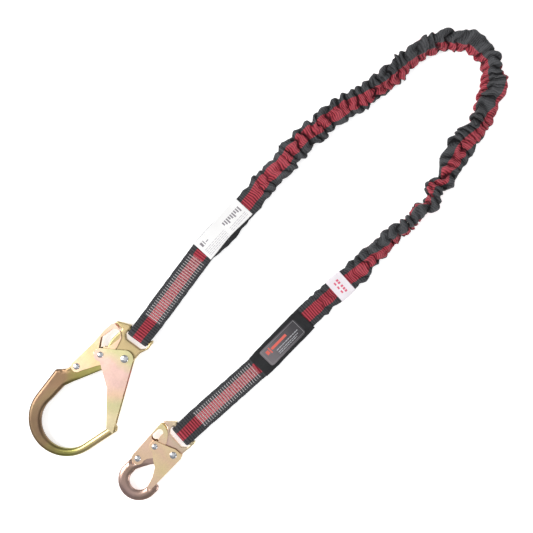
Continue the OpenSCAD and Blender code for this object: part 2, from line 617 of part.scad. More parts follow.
module snap_hook_body() color([0.74, 0.6, 0.5]) on_snap() {
    difference() {
        slab(snap_t) snap_outline();
        drill(snap_bowl, snap_bowl_r, snap_t + 2);
        slab(snap_t + 2) polygon([
            snap_bowl + [-snap_bowl_r + 0.1, 0], [-29, -57], [-16.5, -35], [-9.6, -28],
            [snap_nose_x, -28], [snap_nose_x, snap_bowl[1]]]);
        slab(snap_t + 2) polygon([[snap_nose_x - 1, -28], [snap_nose_x - 1, snap_nose_top],
            [30, snap_nose_top], [30, -28]]);
        slab(snap_t + 2) at_eye(snap_eye, snap_tilt) eye_slot();
        drill([0, 0], snap_pivot_r + rivet_gap, snap_t + 2);
        drill(snap_lever_at, lever_rivet_r + rivet_gap, snap_t + 2);
        spring_pocket([0, 0], snap_pivot_r);
        spring_pocket(snap_lever_at, lever_rivet_r);
        slab(pocket_h) polygon([[0, 0], [-38, -12], [-40, 12], [0, 6]]);
        slab(pocket_h) polygon([[0, 0], [-3, -26], [10, -26], [12, 0]]);
        slab(pocket_h) polygon([snap_lever_at, snap_lever_at + [-20, 24],
            snap_lever_at + [0, 24], snap_lever_at + [5, 0]]);
        slab(pocket_h) polygon([snap_lever_at, snap_lever_at + [-18, -3],
            snap_lever_at + [-14, -18], snap_lever_at + [0, -9]]);
    }
    eye_bar(snap_eye, snap_tilt);
}

snap_web_in = [0, -47];
snap_web_tip = [snap_nose_x - 0.6, snap_bowl[1] + 1.6];
module snap_gate_sheet() {
    n = web_normal(snap_web_in, snap_web_tip);
    lobe_r = 8.5;
    in_lobe = lobe_r - 0.2;
    difference() {
        union() {
            disc(snap_catch, lobe_r);
            polygon([snap_catch + in_lobe * unit(-75), [-18, -27], [-9, -33], snap_web_in + n,
                snap_web_tip + n, snap_web_tip + [5, 0], [12.7, 4], [9, 9],
                [-3.5, 9], [-10, 6.5], snap_catch + in_lobe * unit(100)]);
        }
        disc([0, 0], snap_pivot_r + rivet_gap);
        disc(snap_catch, catch_r + rivet_gap);
    }
}
module snap_gate() color([0.88, 0.76, 0.6]) on_snap() {
    z = gate_z(snap_t);
    pair(z, gate_t) snap_gate_sheet();
    slab(2 * (z + gate_t)) gate_web(snap_web_in, snap_web_tip);
}

module snap_lever_sheet() {
    at = snap_lever_at;
    difference() {
        union() {
            disc(at, 9.7);
            polygon([at + [-9.5, 0], [-47.5, 20], [-45, 24.5], [-41, 24.5],
                each arc([-42, 4], 20, 80, 38, 5), [-20, 6], [-20, -24], [-27, -32],
                at + 9.3 * unit(-50)]);
        }
        disc(at, lever_rivet_r + rivet_gap);
        polygon(round_band([[-40, 1.5], [-39, 12]], 5.3));
        pin_slot(snap_catch, at, snap_gate_open, snap_squeeze);
    }
}
module snap_lock_lever() color([0.86, 0.68, 0.56]) on_snap() {
    z = lever_z(snap_t);
    pair(z, lever_t) snap_lever_sheet();
    translate([snap_lever_at[0] - 9.5, snap_lever_at[1], -z - lever_t])
        cube([lever_t, 20 - snap_lever_at[1], 2 * (z + lever_t)]);
}

module snap_gate_rivet() color([0.8, 0.8, 0.82]) on_snap()
    rivet([0, 0], snap_pivot_r, gate_z(snap_t) + gate_t + sheet_gap / 2, gate_head_r - 0.7);
module snap_lever_rivet() color([0.8, 0.8, 0.82]) on_snap()
    rivet(snap_lever_at, lever_rivet_r, lever_z(snap_t) + lever_t + sheet_gap / 2, lever_head_r);
module snap_catch_pin() color([0.8, 0.8, 0.82]) on_snap()
    rivet(snap_catch, catch_r, gate_z(snap_t) + gate_t + sheet_gap / 2, catch_head_r);
module snap_gate_spring() color([0.55, 0.55, 0.58]) on_snap()
    torsion_spring([0, 0], snap_pivot_r, pin_leg(snap_catch, snap_pivot_r), 33, 20, 8);
module snap_lever_spring() color([0.55, 0.55, 0.58]) on_snap()
    torsion_spring(snap_lever_at, lever_rivet_r, 36.7, 17, 285, 8);

stretch_jacket();
core_strap();
elastic_strap();
rebar_end_loop();
snap_end_loop();
rebar_end_stitching();
snap_end_stitching();
warning_label();
label_backing();
label_sleeve();
sleeve_patch();
inspection_band();
rebar_hook_body();
rebar_gate();
rebar_lock_lever();
rebar_gate_rivet();
rebar_lever_rivet();
rebar_catch_pin();
rebar_gate_spring();
rebar_lever_spring();
snap_hook_body();
snap_gate();
snap_lock_lever();
snap_gate_rivet();
snap_lever_rivet();
snap_catch_pin();
snap_gate_spring();
snap_lever_spring();
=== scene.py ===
"""Looks of the shock absorbing lanyard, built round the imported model."""

import json
import math

import bpy
import bmesh
import numpy as np
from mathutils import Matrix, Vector, kdtree, noise


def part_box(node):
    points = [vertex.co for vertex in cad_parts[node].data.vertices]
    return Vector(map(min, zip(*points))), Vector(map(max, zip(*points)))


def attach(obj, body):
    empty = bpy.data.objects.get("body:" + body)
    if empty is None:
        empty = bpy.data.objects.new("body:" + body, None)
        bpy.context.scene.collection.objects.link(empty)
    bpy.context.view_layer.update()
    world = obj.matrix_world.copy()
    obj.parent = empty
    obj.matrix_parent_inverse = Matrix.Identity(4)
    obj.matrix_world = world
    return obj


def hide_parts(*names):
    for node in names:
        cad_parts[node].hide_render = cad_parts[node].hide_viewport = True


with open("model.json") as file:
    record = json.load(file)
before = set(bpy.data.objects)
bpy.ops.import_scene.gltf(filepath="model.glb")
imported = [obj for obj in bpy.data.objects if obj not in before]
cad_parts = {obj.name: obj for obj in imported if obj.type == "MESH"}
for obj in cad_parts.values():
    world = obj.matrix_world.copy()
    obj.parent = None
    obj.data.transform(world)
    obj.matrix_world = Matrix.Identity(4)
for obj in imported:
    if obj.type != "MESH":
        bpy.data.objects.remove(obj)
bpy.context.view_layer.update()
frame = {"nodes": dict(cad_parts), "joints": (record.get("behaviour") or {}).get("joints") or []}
nodes = frame["nodes"]
joints = {j["name"]: j for j in frame["joints"]}
MM = 0.001

# -------- camera, light and world

CAMERA_OVER = (-20, 5)      # mm, the point straight below the camera
CAMERA_UP = 1100      # mm above the floor
VIEW_WIDTH = 842      # mm of floor across the picture
CAMERA_TURN = -45      # degrees; the picture's right is +X -Y
SENSOR = 36


def add_object(name, data):
    thing = bpy.data.objects.new(name, data)
    bpy.context.scene.collection.objects.link(thing)
    return thing


camera_data = bpy.data.cameras.new("camera")
camera_data.sensor_width = SENSOR
camera_data.lens = SENSOR * CAMERA_UP / VIEW_WIDTH
camera = add_object("camera", camera_data)
camera.location = (CAMERA_OVER[0] * MM, CAMERA_OVER[1] * MM, CAMERA_UP * MM)
camera.rotation_euler = (0, 0, math.radians(CAMERA_TURN))
bpy.context.scene.camera = camera
bpy.context.scene.view_settings.view_transform = "Standard"


def add_light(name, place, size, power, aim=(0, 0, 0)):
    """A soft square light at place, in metres, that looks at aim."""
    data = bpy.data.lights.new(name, "AREA")
    data.size = size
    data.energy = power
    light = add_object(name, data)
    light.location = place
    light.rotation_euler = (Vector(aim) - Vector(place)).to_track_quat("-Z", "Y").to_euler()


add_light("key", (-0.9, 0.9, 1.2), 0.7, 27)
add_light("fill", (1.3, -0.5, 1.3), 1.2, 5)
add_light("strip", (-0.2, -1.3, 0.7), 0.5, 4, aim=(-0.2, 0, 0))
add_light("top", (-0.5, -0.05, 1.9), 1.3, 2.4, aim=(-0.5, -0.05, 0))

world = bpy.data.worlds.new("studio")
world.use_nodes = True
bpy.context.scene.world = world
background = world.node_tree.nodes["Background"]
background.inputs["Color"].default_value = (0.95, 0.97, 1, 1)
background.inputs["Strength"].default_value = 0.34

# -------- material tools

MIX_SHARE, MIX_FIRST, MIX_SECOND, MIX_RESULT = 0, 6, 7, 2      # a Mix node's colour sockets


class Shader:
    """A material with a Principled shader, and short calls that add nodes to it."""

    def __init__(self, name, **constants):
        self.material = bpy.data.materials.new(name)
        self.material.use_nodes = True
        self.tree = self.material.node_tree
        self.main = self.tree.nodes["Principled BSDF"]
        for key, value in constants.items():
            self.main.inputs[key.replace("_", " ")].default_value = value

    def feed(self, socket, value):
        """Links a node's output to a socket, or sets the socket to a number or an RGB colour."""
        if isinstance(value, bpy.types.NodeSocket):
            self.tree.links.new(value, socket)
        else:
            socket.default_value = (*value, 1) if isinstance(value, tuple) else value

    def math(self, operation, *values):
        n = self.tree.nodes.new("ShaderNodeMath")
        n.operation = operation
        for i, v in enumerate(values):
            self.feed(n.inputs[i], v)
        return n.outputs[0]

    def attribute(self, name):
        n = self.tree.nodes.new("ShaderNodeAttribute")
        n.attribute_name = name
        return n.outputs["Fac"]

    def place(self):
        return self.tree.nodes.new("ShaderNodeTexCoord").outputs["Object"]

    def noise(self, scale, detail):
        n = self.tree.nodes.new("ShaderNodeTexNoise")
        n.inputs["Scale"].default_value = scale
        n.inputs["Detail"].default_value = detail
        self.tree.links.new(self.place(), n.inputs["Vector"])
        return n.outputs["Fac"]

    def step(self, value, low, high):
        """0 below low and 1 above high, smooth between them."""
        n = self.tree.nodes.new("ShaderNodeMapRange")
        n.interpolation_type = "SMOOTHSTEP"
        self.feed(n.inputs["Value"], value)
        n.inputs["From Min"].default_value = low
        n.inputs["From Max"].default_value = high
        return n.outputs["Result"]

    def mix(self, share, a, b):
        n = self.tree.nodes.new("ShaderNodeMix")
        n.data_type = "RGBA"
        self.feed(n.inputs[MIX_SHARE], share)
        self.feed(n.inputs[MIX_FIRST], a)
        self.feed(n.inputs[MIX_SECOND], b)
        return n.outputs[MIX_RESULT]

    def ramp(self, value, colours):
        """Colours at equal steps from 0 to 1."""
        n = self.tree.nodes.new("ShaderNodeValToRGB")
        self.feed(n.inputs["Fac"], value)
        marks = n.color_ramp.elements
        while len(marks) < len(colours):
            marks.new(0.5)
        for i, colour in enumerate(colours):
            marks[i].position = i / (len(colours) - 1)
            marks[i].color = (*colour, 1)
        return n.outputs["Color"]

    def bump(self, height, distance, strength):
        n = self.tree.nodes.new("ShaderNodeBump")
        n.inputs["Distance"].default_value = distance
        n.inputs["Strength"].default_value = strength
        self.tree.links.new(height, n.inputs["Height"])
        self.tree.links.new(n.outputs["Normal"], self.main.inputs["Normal"])

    def colour(self, value):
        self.feed(self.main.inputs["Base Color"], value)

    def set(self, name, value):
        self.feed(self.main.inputs[name], value)


RIB_SHARE, CHECK_SHARE = 0.3, 0.2      # how much the ribs and the checks lift the cloth


def weave(s, across, along, rib, warp):
    """Height from 0 to 1 of a ribbed plain weave, from coordinates in metres."""
    ribs = s.math("SINE", s.math("MULTIPLY", along, 2 * math.pi / rib))
    warps = s.math("SINE", s.math("MULTIPLY", across, 2 * math.pi / warp))
    checks = s.math("MULTIPLY", s.math("MULTIPLY", ribs, warps), CHECK_SHARE)
    return s.math("ADD", s.math("ADD", s.math("MULTIPLY", ribs, RIB_SHARE), checks), 0.5)


STRIPE_HALF = 9.6 * MM      # half the width of the red stripe
EDGE_SOFT = 0.35 * MM
RIB = 4.2 * MM      # from rib to rib along the webbing
WARP = 1.9 * MM      # from one warp thread to the next but one, across it
# Colours of the cloth, each for the charcoal part and for the stripe
# The valleys' colours are painted shade between the ribs, and the ribs' colours carry a painted
# highlight
SHADED_VALLEYS = (0.018, 0.018, 0.020), (0.075, 0.002, 0.006)
LIT_RIBS = (0.052, 0.053, 0.057), (0.50, 0.062, 0.085)
FUZZ = (0.08, 0.08, 0.085), (0.56, 0.26, 0.26)      # lint of the thread round the stitches
CREST_HIGHLIGHT = (0.15, 0.152, 0.16), (0.62, 0.13, 0.16)      # painted highlight on the crests of the folds, with a little wear
CREASE_SHADE = (0.003, 0.003, 0.004), (0.045, 0.002, 0.006)     # painted shade at the bottoms of the creases
GRAIN, CLOUD = (0.115, 0.117, 0.124), (0.36, 0.03, 0.05)


def webbing_material():
    """Charcoal webbing with a red stripe; the mesh says how far across and along it is."""
    s = Shader("webbing", Roughness=0.8, Sheen_Weight=0.15, Sheen_Roughness=0.4,
               Specular_IOR_Level=0.25)
    across, along, crease = s.attribute("across"), s.attribute("along"), s.attribute("crease")
    off = s.math("ABSOLUTE", across)
    stripe = s.math("SUBTRACT", 1, s.step(off, STRIPE_HALF - EDGE_SOFT, STRIPE_HALF + EDGE_SOFT))
    height = weave(s, across, along, RIB, WARP)
    grain = s.noise(900, 2)
    rise = s.step(height, 0.25, 0.75)
    # dark in the weave's valleys and light on its ribs: painted shade and painted highlight
    black, red = (s.mix(rise, low, high) for low, high in zip(SHADED_VALLEYS, LIT_RIBS))
    black = s.mix(s.math("MULTIPLY", s.step(grain, 0.45, 0.8), 0.6), black, GRAIN)
    red = s.mix(s.step(s.noise(70, 3), 0.35, 0.7), red, s.mix(0.35, red, CLOUD))
    cloth = s.mix(stripe, black, red)
    fuzz = s.math("MULTIPLY", s.attribute("sewn"), s.step(s.noise(620, 3), 0.3, 0.75))
    cloth = s.mix(s.math("MULTIPLY", fuzz, 0.75), cloth, s.mix(stripe, *FUZZ))
    # painted highlight on the crests of the folds, where the crease value is below zero
    crest = s.step(s.math("MULTIPLY", crease, -1), 0.05, 0.3)
    cloth = s.mix(s.math("MULTIPLY", crest, 0.3), cloth, s.mix(stripe, *CREST_HIGHLIGHT))
    # painted shade in the bottoms of the creases, and in the rows of stitches on the sewn ends
    depth = s.math("MULTIPLY", s.step(crease, 0.04, 0.6), 0.92)
    s.colour(s.mix(depth, cloth, s.mix(stripe, *CREASE_SHADE)))
    s.bump(s.math("ADD", height, s.math("MULTIPLY", grain, 0.4)), 0.7 * MM, 0.9)
    return s.material


def thread_material():
    """The pale thread of the stitches."""
    s = Shader("thread", Roughness=0.6, Sheen_Weight=0.2)
    s.colour(s.mix(s.noise(300, 2), (0.50, 0.46, 0.46), (0.82, 0.78, 0.78)))
    s.bump(s.noise(2500, 1), 0.15 * MM, 0.5)
    return s.material


def cloth_material(name, dark, light, thread=0.9 * MM):
    """Plain cloth of fine threads, dark between them and light on them: painted shade between the
    threads and a painted highlight on them.
    """
    s = Shader(name, Roughness=0.75, Sheen_Weight=0.25, Specular_IOR_Level=0.3)
    across, along = s.attribute("across"), s.attribute("along")
    height = weave(s, across, along, thread, thread)
    s.colour(s.mix(s.math("MULTIPLY", height, s.step(s.noise(60, 3), 0.2, 0.8)), dark, light))
    s.bump(height, 0.2 * MM, 0.5)
    return s.material


PRINT_SOFT = 0.12 * MM      # softness of a printed edge
DASH, DASH_GAP = (0.02, 0.07), (0.008, 0.016)      # lengths in small print, shares of the label


def bar(s, x, y, x0, x1, y0, y1):
    """1 inside a rectangle of the coordinates x and y, in metres."""
    def past(value, edge):
        return s.step(value, edge - PRINT_SOFT, edge + PRINT_SOFT)

    inside = s.math("MULTIPLY", past(x, x0), past(y, y0))
    beyond = s.math("MAXIMUM", past(x, x1), past(y, y1))
    return s.math("MULTIPLY", inside, s.math("SUBTRACT", 1, beyond))


def printed(s, base, bars, ink, length, width):
    """base with plain bars of ink; bars are x0, x1, y0, y1 as shares of the length and width."""
    x, y = s.attribute("along"), s.attribute("across")
    total = None
    for x0, x1, y0, y1 in bars:
        one = bar(s, x, y, x0 * length, x1 * length, (y0 - 0.5) * width, (y1 - 0.5) * width)
        total = one if total is None else s.math("MAXIMUM", total, one)
    return s.mix(total, base, ink)


def broken(lines, seed):
    """Each line (x0, x1, y0, y1) cut into uneven dashes, like print too small to read."""
    rng = np.random.default_rng(seed)
    bars = []
    for x0, x1, y0, y1 in lines:
        x = x0
        while x < x1:
            long = rng.uniform(*DASH)
            bars.append((x, min(x + long, x1), y0, y1))
            x += long + rng.uniform(*DASH_GAP)
    return bars


RUN_SHARE, RUN_WANDER = 0.7, 0.35      # how strong a run of colours is, and how far it strays
GRIME, GRIME_SHARE = (0.2, 0.16, 0.08), 0.12


def zinc_material(name, tints, start, end, runs, rough):
    """Plated satin steel: clouds of the tints, and runs of colour from point start to point end."""
    s = Shader(name, Metallic=1, Roughness=rough, Specular_IOR_Level=0.6)
    clouds = s.ramp(s.step(s.noise(16, 2), 0.32, 0.68), tints)
    way = end - start
    dot = s.tree.nodes.new("ShaderNodeVectorMath")
    dot.operation = "DOT_PRODUCT"
    s.tree.links.new(s.place(), dot.inputs[0])
    dot.inputs[1].default_value = way / way.length_squared
    share = s.math("SUBTRACT", dot.outputs["Value"], start.dot(way) / way.length_squared)
    stray = s.math("MULTIPLY", s.math("SUBTRACT", s.noise(28, 2), 0.5), RUN_WANDER)
    colour = s.mix(RUN_SHARE, clouds, s.ramp(s.math("ADD", share, stray), runs))
    fine = s.noise(420, 3)
    s.colour(s.mix(s.step(fine, 0.25, 0.8), s.mix(GRIME_SHARE, colour, GRIME), colour))
    s.set("Roughness", s.math("ADD", rough - 0.06, s.math("MULTIPLY", s.noise(60, 3), 0.16)))
    s.bump(s.math("ADD", fine, s.noise(120, 2)), 0.12 * MM, 0.35)
    return s.material


def steel_material(name, colour, rough):
    """Plain bright steel, a little cloudy."""
    s = Shader(name, Metallic=1)
    s.colour(s.mix(s.noise(150, 3), tuple(c * 0.82 for c in colour), colour))
    s.set("Roughness", s.math("ADD", rough, s.math("MULTIPLY", s.noise(500, 2), 0.15)))
    s.bump(s.noise(700, 2), 0.05 * MM, 0.3)
    return s.material


WEBBING = webbing_material()
THREAD = thread_material()
STEEL = steel_material("bright_steel", (0.78, 0.79, 0.82), 0.14)
SPRING = steel_material("spring_wire", (0.35, 0.35, 0.38), 0.3)

# -------- mesh tools


def smooth(mesh):
    mesh.polygons.foreach_set("use_smooth", [True] * len(mesh.polygons))


def new_piece(name, vertices, faces, material, body, slot, **attributes):
    """A smooth mesh piece that rides on a body; each attribute is a list of a value per point."""
    mesh = bpy.data.meshes.new(name)
    mesh.from_pydata([tuple(v) for v in vertices], [], faces)
    for key, values in attributes.items():
        mesh.attributes.new(key, "FLOAT", "POINT").data.foreach_set(
            "value", np.asarray(values, np.float32))
    smooth(mesh)
    mesh.materials.append(material)
    mesh.update()
    piece = add_object(name, mesh)
    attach(piece, body)
    return piece


def tube_faces(rings, sides):
    """Quads of a closed tube with both ends capped."""
    faces = [(i * sides + k, i * sides + (k + 1) % sides,
              (i + 1) * sides + (k + 1) % sides, (i + 1) * sides + k)
             for i in range(rings - 1) for k in range(sides)]
    faces.append(tuple(range(sides))[::-1])
    faces.append(tuple((rings - 1) * sides + k for k in range(sides)))
    return faces


def smooth_noise(x, y=0.0, seed=0.0):
    """Smooth noise, about -1 to 1."""
    return noise.noise(Vector((x, y, seed * 17.3 + 0.5))) * 1.6


def clamp(x, low=0.0, high=1.0):
    return max(low, min(high, x))


def ease(x):
    x = clamp(x)
    return x * x * (3 - 2 * x)


def evenly(low, high, count):
    return np.linspace(low, high, count).tolist()


def squared(x, power):
    """A sine or cosine pushed towards -1 or 1, for a section with flatter sides."""
    return math.copysign(abs(x) ** power, x)


def rolled(px, pz, a):
    """A section's point turned by the roll a: how far to the left and how far up it is."""
    return px * math.cos(a) - pz * math.sin(a), px * math.sin(a) + pz * math.cos(a)


# -------- the webbing's route, in mm

# The part's own sizes
WEB_W, WEB_T, JACKET_FULL = 38, 3.5, 17
SEWN_L = 152
THREAD_H = 0.4
REBAR_BAR, REBAR_HEADING = (-237, 68), 8.5
SNAP_BAR, SNAP_HEADING = (-297, -88), -3.5
LEG_LEAD = 14      # the route is straight for this far past each sewn end
FLAT_T = 2 * WEB_T

# X, Y, roll about the route, fullness (0 flat, 1 full), and how far the tube has turned
# round its straps, as degrees that the stripe faces away from straight up
ROUTE = [
    (-56, 94, 0, 0, 0), (-16, 95, 0, 0, 0), (22, 95, 0, 0, 0), (60, 98, 0, 0.8, -4),
    (100, 101, -8, 1, -4), (144, 103, 5, 1, -10), (184, 100, 10, 1, -8), (224, 97, 0, 1, 2),
    (264, 88, 12, 1, 18), (304, 80, 25, 1, 45), (344, 78, 40, 1, 70), (384, 74, 55, 1, 88),
    (419, 62, 62, 1, 96), (442, 40, 65, 1, 96), (453, 12, 65, 1, 93), (450, -18, 60, 1, 92),
    (434, -40, 40, 1, 95), (409, -56, 10, 1, 104), (379, -68, -20, 1, 122),
    (344, -75, -15, 1, 148), (304, -84, 0, 1, 180), (269, -94, 20, 1, 205),
    (239, -101, 55, 1, 235), (209, -105, 90, 1, 262), (179, -103, 110, 1, 280),
    (149, -99, 130, 1, 292), (114, -99, 160, 1, 318), (79, -101, 175, 0.8, 348),
    (40, -99, 180, 0.3, 360), (4, -97, 180, 0.5, 360), (-32, -95, 180, 0, 360),
    (-86, -96, 180, 0, 360),
]


def direction(degrees):
    """A vector on the floor."""
    return Vector((math.cos(math.radians(degrees)), math.sin(math.radians(degrees))))


def ways(heading):
    """Level vectors forward and to the left."""
    d = direction(heading)
    return Vector((d.x, d.y, 0)), Vector((-d.y, d.x, 0))


def leg_point(bar, heading, x):
    """A floor point x along a leg from its eye bar."""
    return Vector(bar) + x * direction(heading)


ENDS = [leg_point(REBAR_BAR, REBAR_HEADING, SEWN_L), leg_point(SNAP_BAR, SNAP_HEADING, SEWN_L)]
KNOTS = [
    (*ENDS[0], 0, 0, 0), (*leg_point(REBAR_BAR, REBAR_HEADING, SEWN_L + LEG_LEAD), 0, 0, 0),
    *ROUTE,
    (*leg_point(SNAP_BAR, SNAP_HEADING, SEWN_L + LEG_LEAD), 180, 0, 360), (*ENDS[1], 180, 0, 360),
]
ROUTE_STEPS = 24


def route_samples():
    """Rows of the knots' five values along the whole route, on the CAD jacket's own curve."""
    k = np.array(KNOTS, float)
    last = len(k) - 1
    rows = []
    for i in range(last):
        a, b, c, d = (k[min(max(j, 0), last)] for j in (i - 1, i, i + 1, i + 2))
        for t in np.arange(ROUTE_STEPS) / ROUTE_STEPS:
            rows.append(0.5 * (2 * b + (c - a) * t + (2 * a - 5 * b + 4 * c - d) * t * t
                               + (3 * b - a - 3 * c + d) * t ** 3))
    rows.append(k[last])
    return np.array(rows)


samples = route_samples()
samples[:, 3] = np.clip(samples[:, 3], 0, 1)
steps = np.linalg.norm(np.diff(samples[:, :2], axis=0), axis=1)
run = [0.0] + np.cumsum(steps).tolist()      # mm along the route


def ring_heading(i):
    """Travelling direction at sample i, in degrees."""
    if i == 0:
        return REBAR_HEADING
    if i == len(samples) - 1:
        return SNAP_HEADING + 180
    d = samples[i + 1, :2] - samples[i - 1, :2]
    return math.degrees(math.atan2(d[1], d[0]))


SECTION_SIDES = 52
SECTION_POWER = 0.62      # below 1, so that the section is a rounded rectangle
SECTION_HALF = 6      # half the thickness that the section's points are spaced out for


def even_angles():
    """Angles round the section that give points an even distance apart on it."""
    fine = np.linspace(0, 2 * math.pi, 2001)
    x = WEB_W / 2 * np.sign(np.cos(fine)) * np.abs(np.cos(fine)) ** SECTION_POWER
    y = SECTION_HALF * np.sign(np.sin(fine)) * np.abs(np.sin(fine)) ** SECTION_POWER
    length = np.concatenate([[0], np.cumsum(np.hypot(np.diff(x), np.diff(y)))])
    return np.interp(np.arange(SECTION_SIDES) / SECTION_SIDES * length[-1], length, fine).tolist()


ANGLES = even_angles()
HALF_GIRTH = 45.0      # mm of cloth across each face of the tubular webbing


def unrolled(k, turned):
    """Signed mm of cloth from the nearest stripe's middle, on a tube turned by some degrees."""
    quarter = (k / SECTION_SIDES * 4 - turned / 90) % 4
    return HALF_GIRTH / 2 * (1 - quarter if quarter <= 2 else quarter - 3)


def near_point(x, y):
    """How far along the route, in mm, it comes nearest to a point."""
    d = np.hypot(samples[:, 0] - x, samples[:, 1] - y)
    return run[int(np.argmin(d))]


# Where the gathers are tight, where the webbing zigzags and where it is a round bundle
TIGHT_FROM, TIGHT_TO = near_point(300, 80), near_point(80, -101)
ZIGZAG_FROM, ZIGZAG_TO = near_point(290, -88), near_point(190, -104)
BUNDLE_FROM, BUNDLE_TO = near_point(310, -82), near_point(75, -101)


def zone(s, start, end, rise, fall):
    """1 between start and end along the route, easing in over rise and out over fall."""
    return ease((s - start) / rise) * ease((end - s) / fall)


def tightness(s):
    return zone(s, TIGHT_FROM, TIGHT_TO, 80, 60)


def zigzag(s):
    return zone(s, ZIGZAG_FROM, ZIGZAG_TO, 25, 25)


def bundle(s):
    return zone(s, BUNDLE_FROM, BUNDLE_TO, 35, 40)


FOLD_GAP, FOLD_GAP_VARIES, FOLD_GAP_LEAST = 20, 9, 8
TIGHTER = 0.22      # share that the folds are closer by where they are tight


def gather_phase():
    """Number of folds up to each sample of the route."""
    gap = []
    for s in run:
        loose = FOLD_GAP + FOLD_GAP_VARIES * smooth_noise(s / 23, 3.1)
        gap.append(max(FOLD_GAP_LEAST, loose * (1 - TIGHTER * tightness(s))))
    return [0.0] + np.cumsum(steps / np.array(gap)[1:]).tolist()


phase = gather_phase()


FINE_FOLDS, FINE_DEPTH = 2.3, 0.5      # small creases to a fold, and their depth


def folds(i, q, face):
    """At sample i, q from -1 to 1 across and face from -1 to 1: crease depth and waist, 0 to 1."""
    s, p = run[i], phase[i]
    tilt = (0.45 * smooth_noise(s / 60, 0, 1) * q + 0.3 * smooth_noise(s / 26, q * 1.3, 2)
            + 0.3 * face)
    wave = abs(math.sin(math.pi * (p + tilt)))
    deep = clamp(0.8 + 0.5 * smooth_noise(s / 23, q * 0.8 + 5, 3))
    fine_p = FINE_FOLDS * p + 0.5 * smooth_noise(s / 18, q * 1.6, 4) + 0.6 * face
    fine = (1 - abs(math.sin(math.pi * fine_p))) ** 1.5
    fine_deep = clamp(0.3 + 0.7 * smooth_noise(s / 31, q + 9, 5))
    depth = (1 - wave) ** 1.7 * deep + FINE_DEPTH * fine * fine_deep
    return clamp(depth), (1 - wave) * deep


CORE_HALF, STRAPS_HALF = 14, 3.5      # the room that the straps inside keep open
SWAY, ZIGZAG_SWAY, ZIGZAG_LENGTH = 2.2, 6, 44
ROLL_STRAYS, ZIGZAG_ROLL, STRIPE_STRAYS = 8, 12, 7      # degrees
WIDER, BUNDLE_NARROWER, BUNDLE_THICKER = 3, 9, 5
WAIST_SHARE, CREASE_SHARE = 0.3, 0.75      # how far folds cut into the width and thickness
FLAP, FINE_FLAP, PUFF = 3.6, 1.2, 1.6
SLANT_LEAN, CREASE_LEAN, CLOTH_LEAN = 5.5, 2.4, 2.6     # how far the cloth leans along the route
# crests get a crease value below zero, which paints a highlight on them
CREST_SHARE = 0.3
EXTRA_CLOTH = 0.35      # mm to a mm of route, where it is gathered
FLOOR_GAP = 0.3
LIFT_SAMPLES = 15      # that the height off the floor is smoothed over
UP = Vector((0, 0, 1))


def jacket_section(i, full):
    """The jacket's section at sample i: points (across, up, forward), and their crease depths."""
    s = run[i]
    wide = WEB_W + full * (WIDER - BUNDLE_NARROWER * bundle(s))
    thick = FLAT_T + (JACKET_FULL + BUNDLE_THICKER * bundle(s) - FLAT_T) * full
    slant = smooth_noise(s / 55, 0, 10)
    ring, creases = [], []
    for angle in ANGLES:
        q, h = (squared(f(angle), SECTION_POWER) for f in (math.cos, math.sin))
        depth, waist = (full * share for share in folds(i, q, h))
        flap = full * (FLAP * smooth_noise(phase[i] * 1.1, q * 1.4, 8)
                       + FINE_FLAP * smooth_noise(s / 7, q, 14))
        puff = full * PUFF * smooth_noise(phase[i] * 1.3, q * 3, 9)
        lean = full * (SLANT_LEAN * slant * (0.5 - waist) - CREASE_LEAN * depth
                       + CLOTH_LEAN * smooth_noise(s / 16, q * 2 + h, 13))
        ring.append((q * max(CORE_HALF, wide / 2 * (1 - WAIST_SHARE * waist) + flap),
                     h * max(STRAPS_HALF, thick / 2 * (1 - CREASE_SHARE * depth) + puff), lean))
        creases.append(depth - CREST_SHARE * (1 - waist) * full)
    return ring, creases


def jacket_mesh():
    """The jacket's points, cloth coordinates and creases, and its spine: centre, left and roll."""
    sections, across, along, crease = [], [], [], []
    travelled = 0
    for i, (x, y, roll, full, stripe) in enumerate(samples.tolist()):
        s = run[i]
        forward, left = ways(ring_heading(i))
        narrow, beat = zigzag(s), 2 * math.pi * s / ZIGZAG_LENGTH
        sway = full * (SWAY * smooth_noise(s / 38, 0, 6) + ZIGZAG_SWAY * narrow * math.sin(beat))
        a = math.radians(roll + full * (ROLL_STRAYS * smooth_noise(s / 52, 0, 7)
                                        + ZIGZAG_ROLL * narrow * math.sin(beat + 1)))
        turned = stripe - roll + full * STRIPE_STRAYS * smooth_noise(s / 33, 0, 12)
        ring, creases = jacket_section(i, full)
        crease += creases
        across += [unrolled(k, turned) * MM for k in range(SECTION_SIDES)]
        along += [travelled * MM] * SECTION_SIDES
        half_height = max(abs(rolled(px, pz, a)[1]) for px, pz, _ in ring)
        sections.append((Vector((x, y, 0)) + sway * left, forward, left, a, ring, half_height))
        if i < len(steps):
            travelled += float(steps[i]) * (1 + EXTRA_CLOTH * full)
    lifts = np.pad([THREAD_H + section[-1] for section in sections], LIFT_SAMPLES // 2, mode="edge")
    kernel = np.hanning(LIFT_SAMPLES)
    lifts = np.convolve(lifts, kernel / kernel.sum(), mode="valid").tolist()
    vertices, spine = [], []
    for (middle, forward, left, a, ring, _), lift in zip(sections, lifts):
        centre = middle + lift * UP
        spine.append((centre * MM, left, a))
        for px, pz, lean in ring:
            side, rise = rolled(px, pz, a)
            v = centre + side * left + rise * UP + lean * forward
            v.z = max(v.z, FLOOR_GAP)
            vertices.append(v * MM)
    return vertices, across, along, crease, spine


points, across, along, crease, spine = jacket_mesh()
centres = [centre for centre, _, _ in spine]
jacket = new_piece("webbing_jacket", points, tube_faces(len(samples), SECTION_SIDES), WEBBING,
                   "webbing", "webbing", across=across, along=along, crease=crease)
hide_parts("stretch_jacket")

# -------- sewn ends

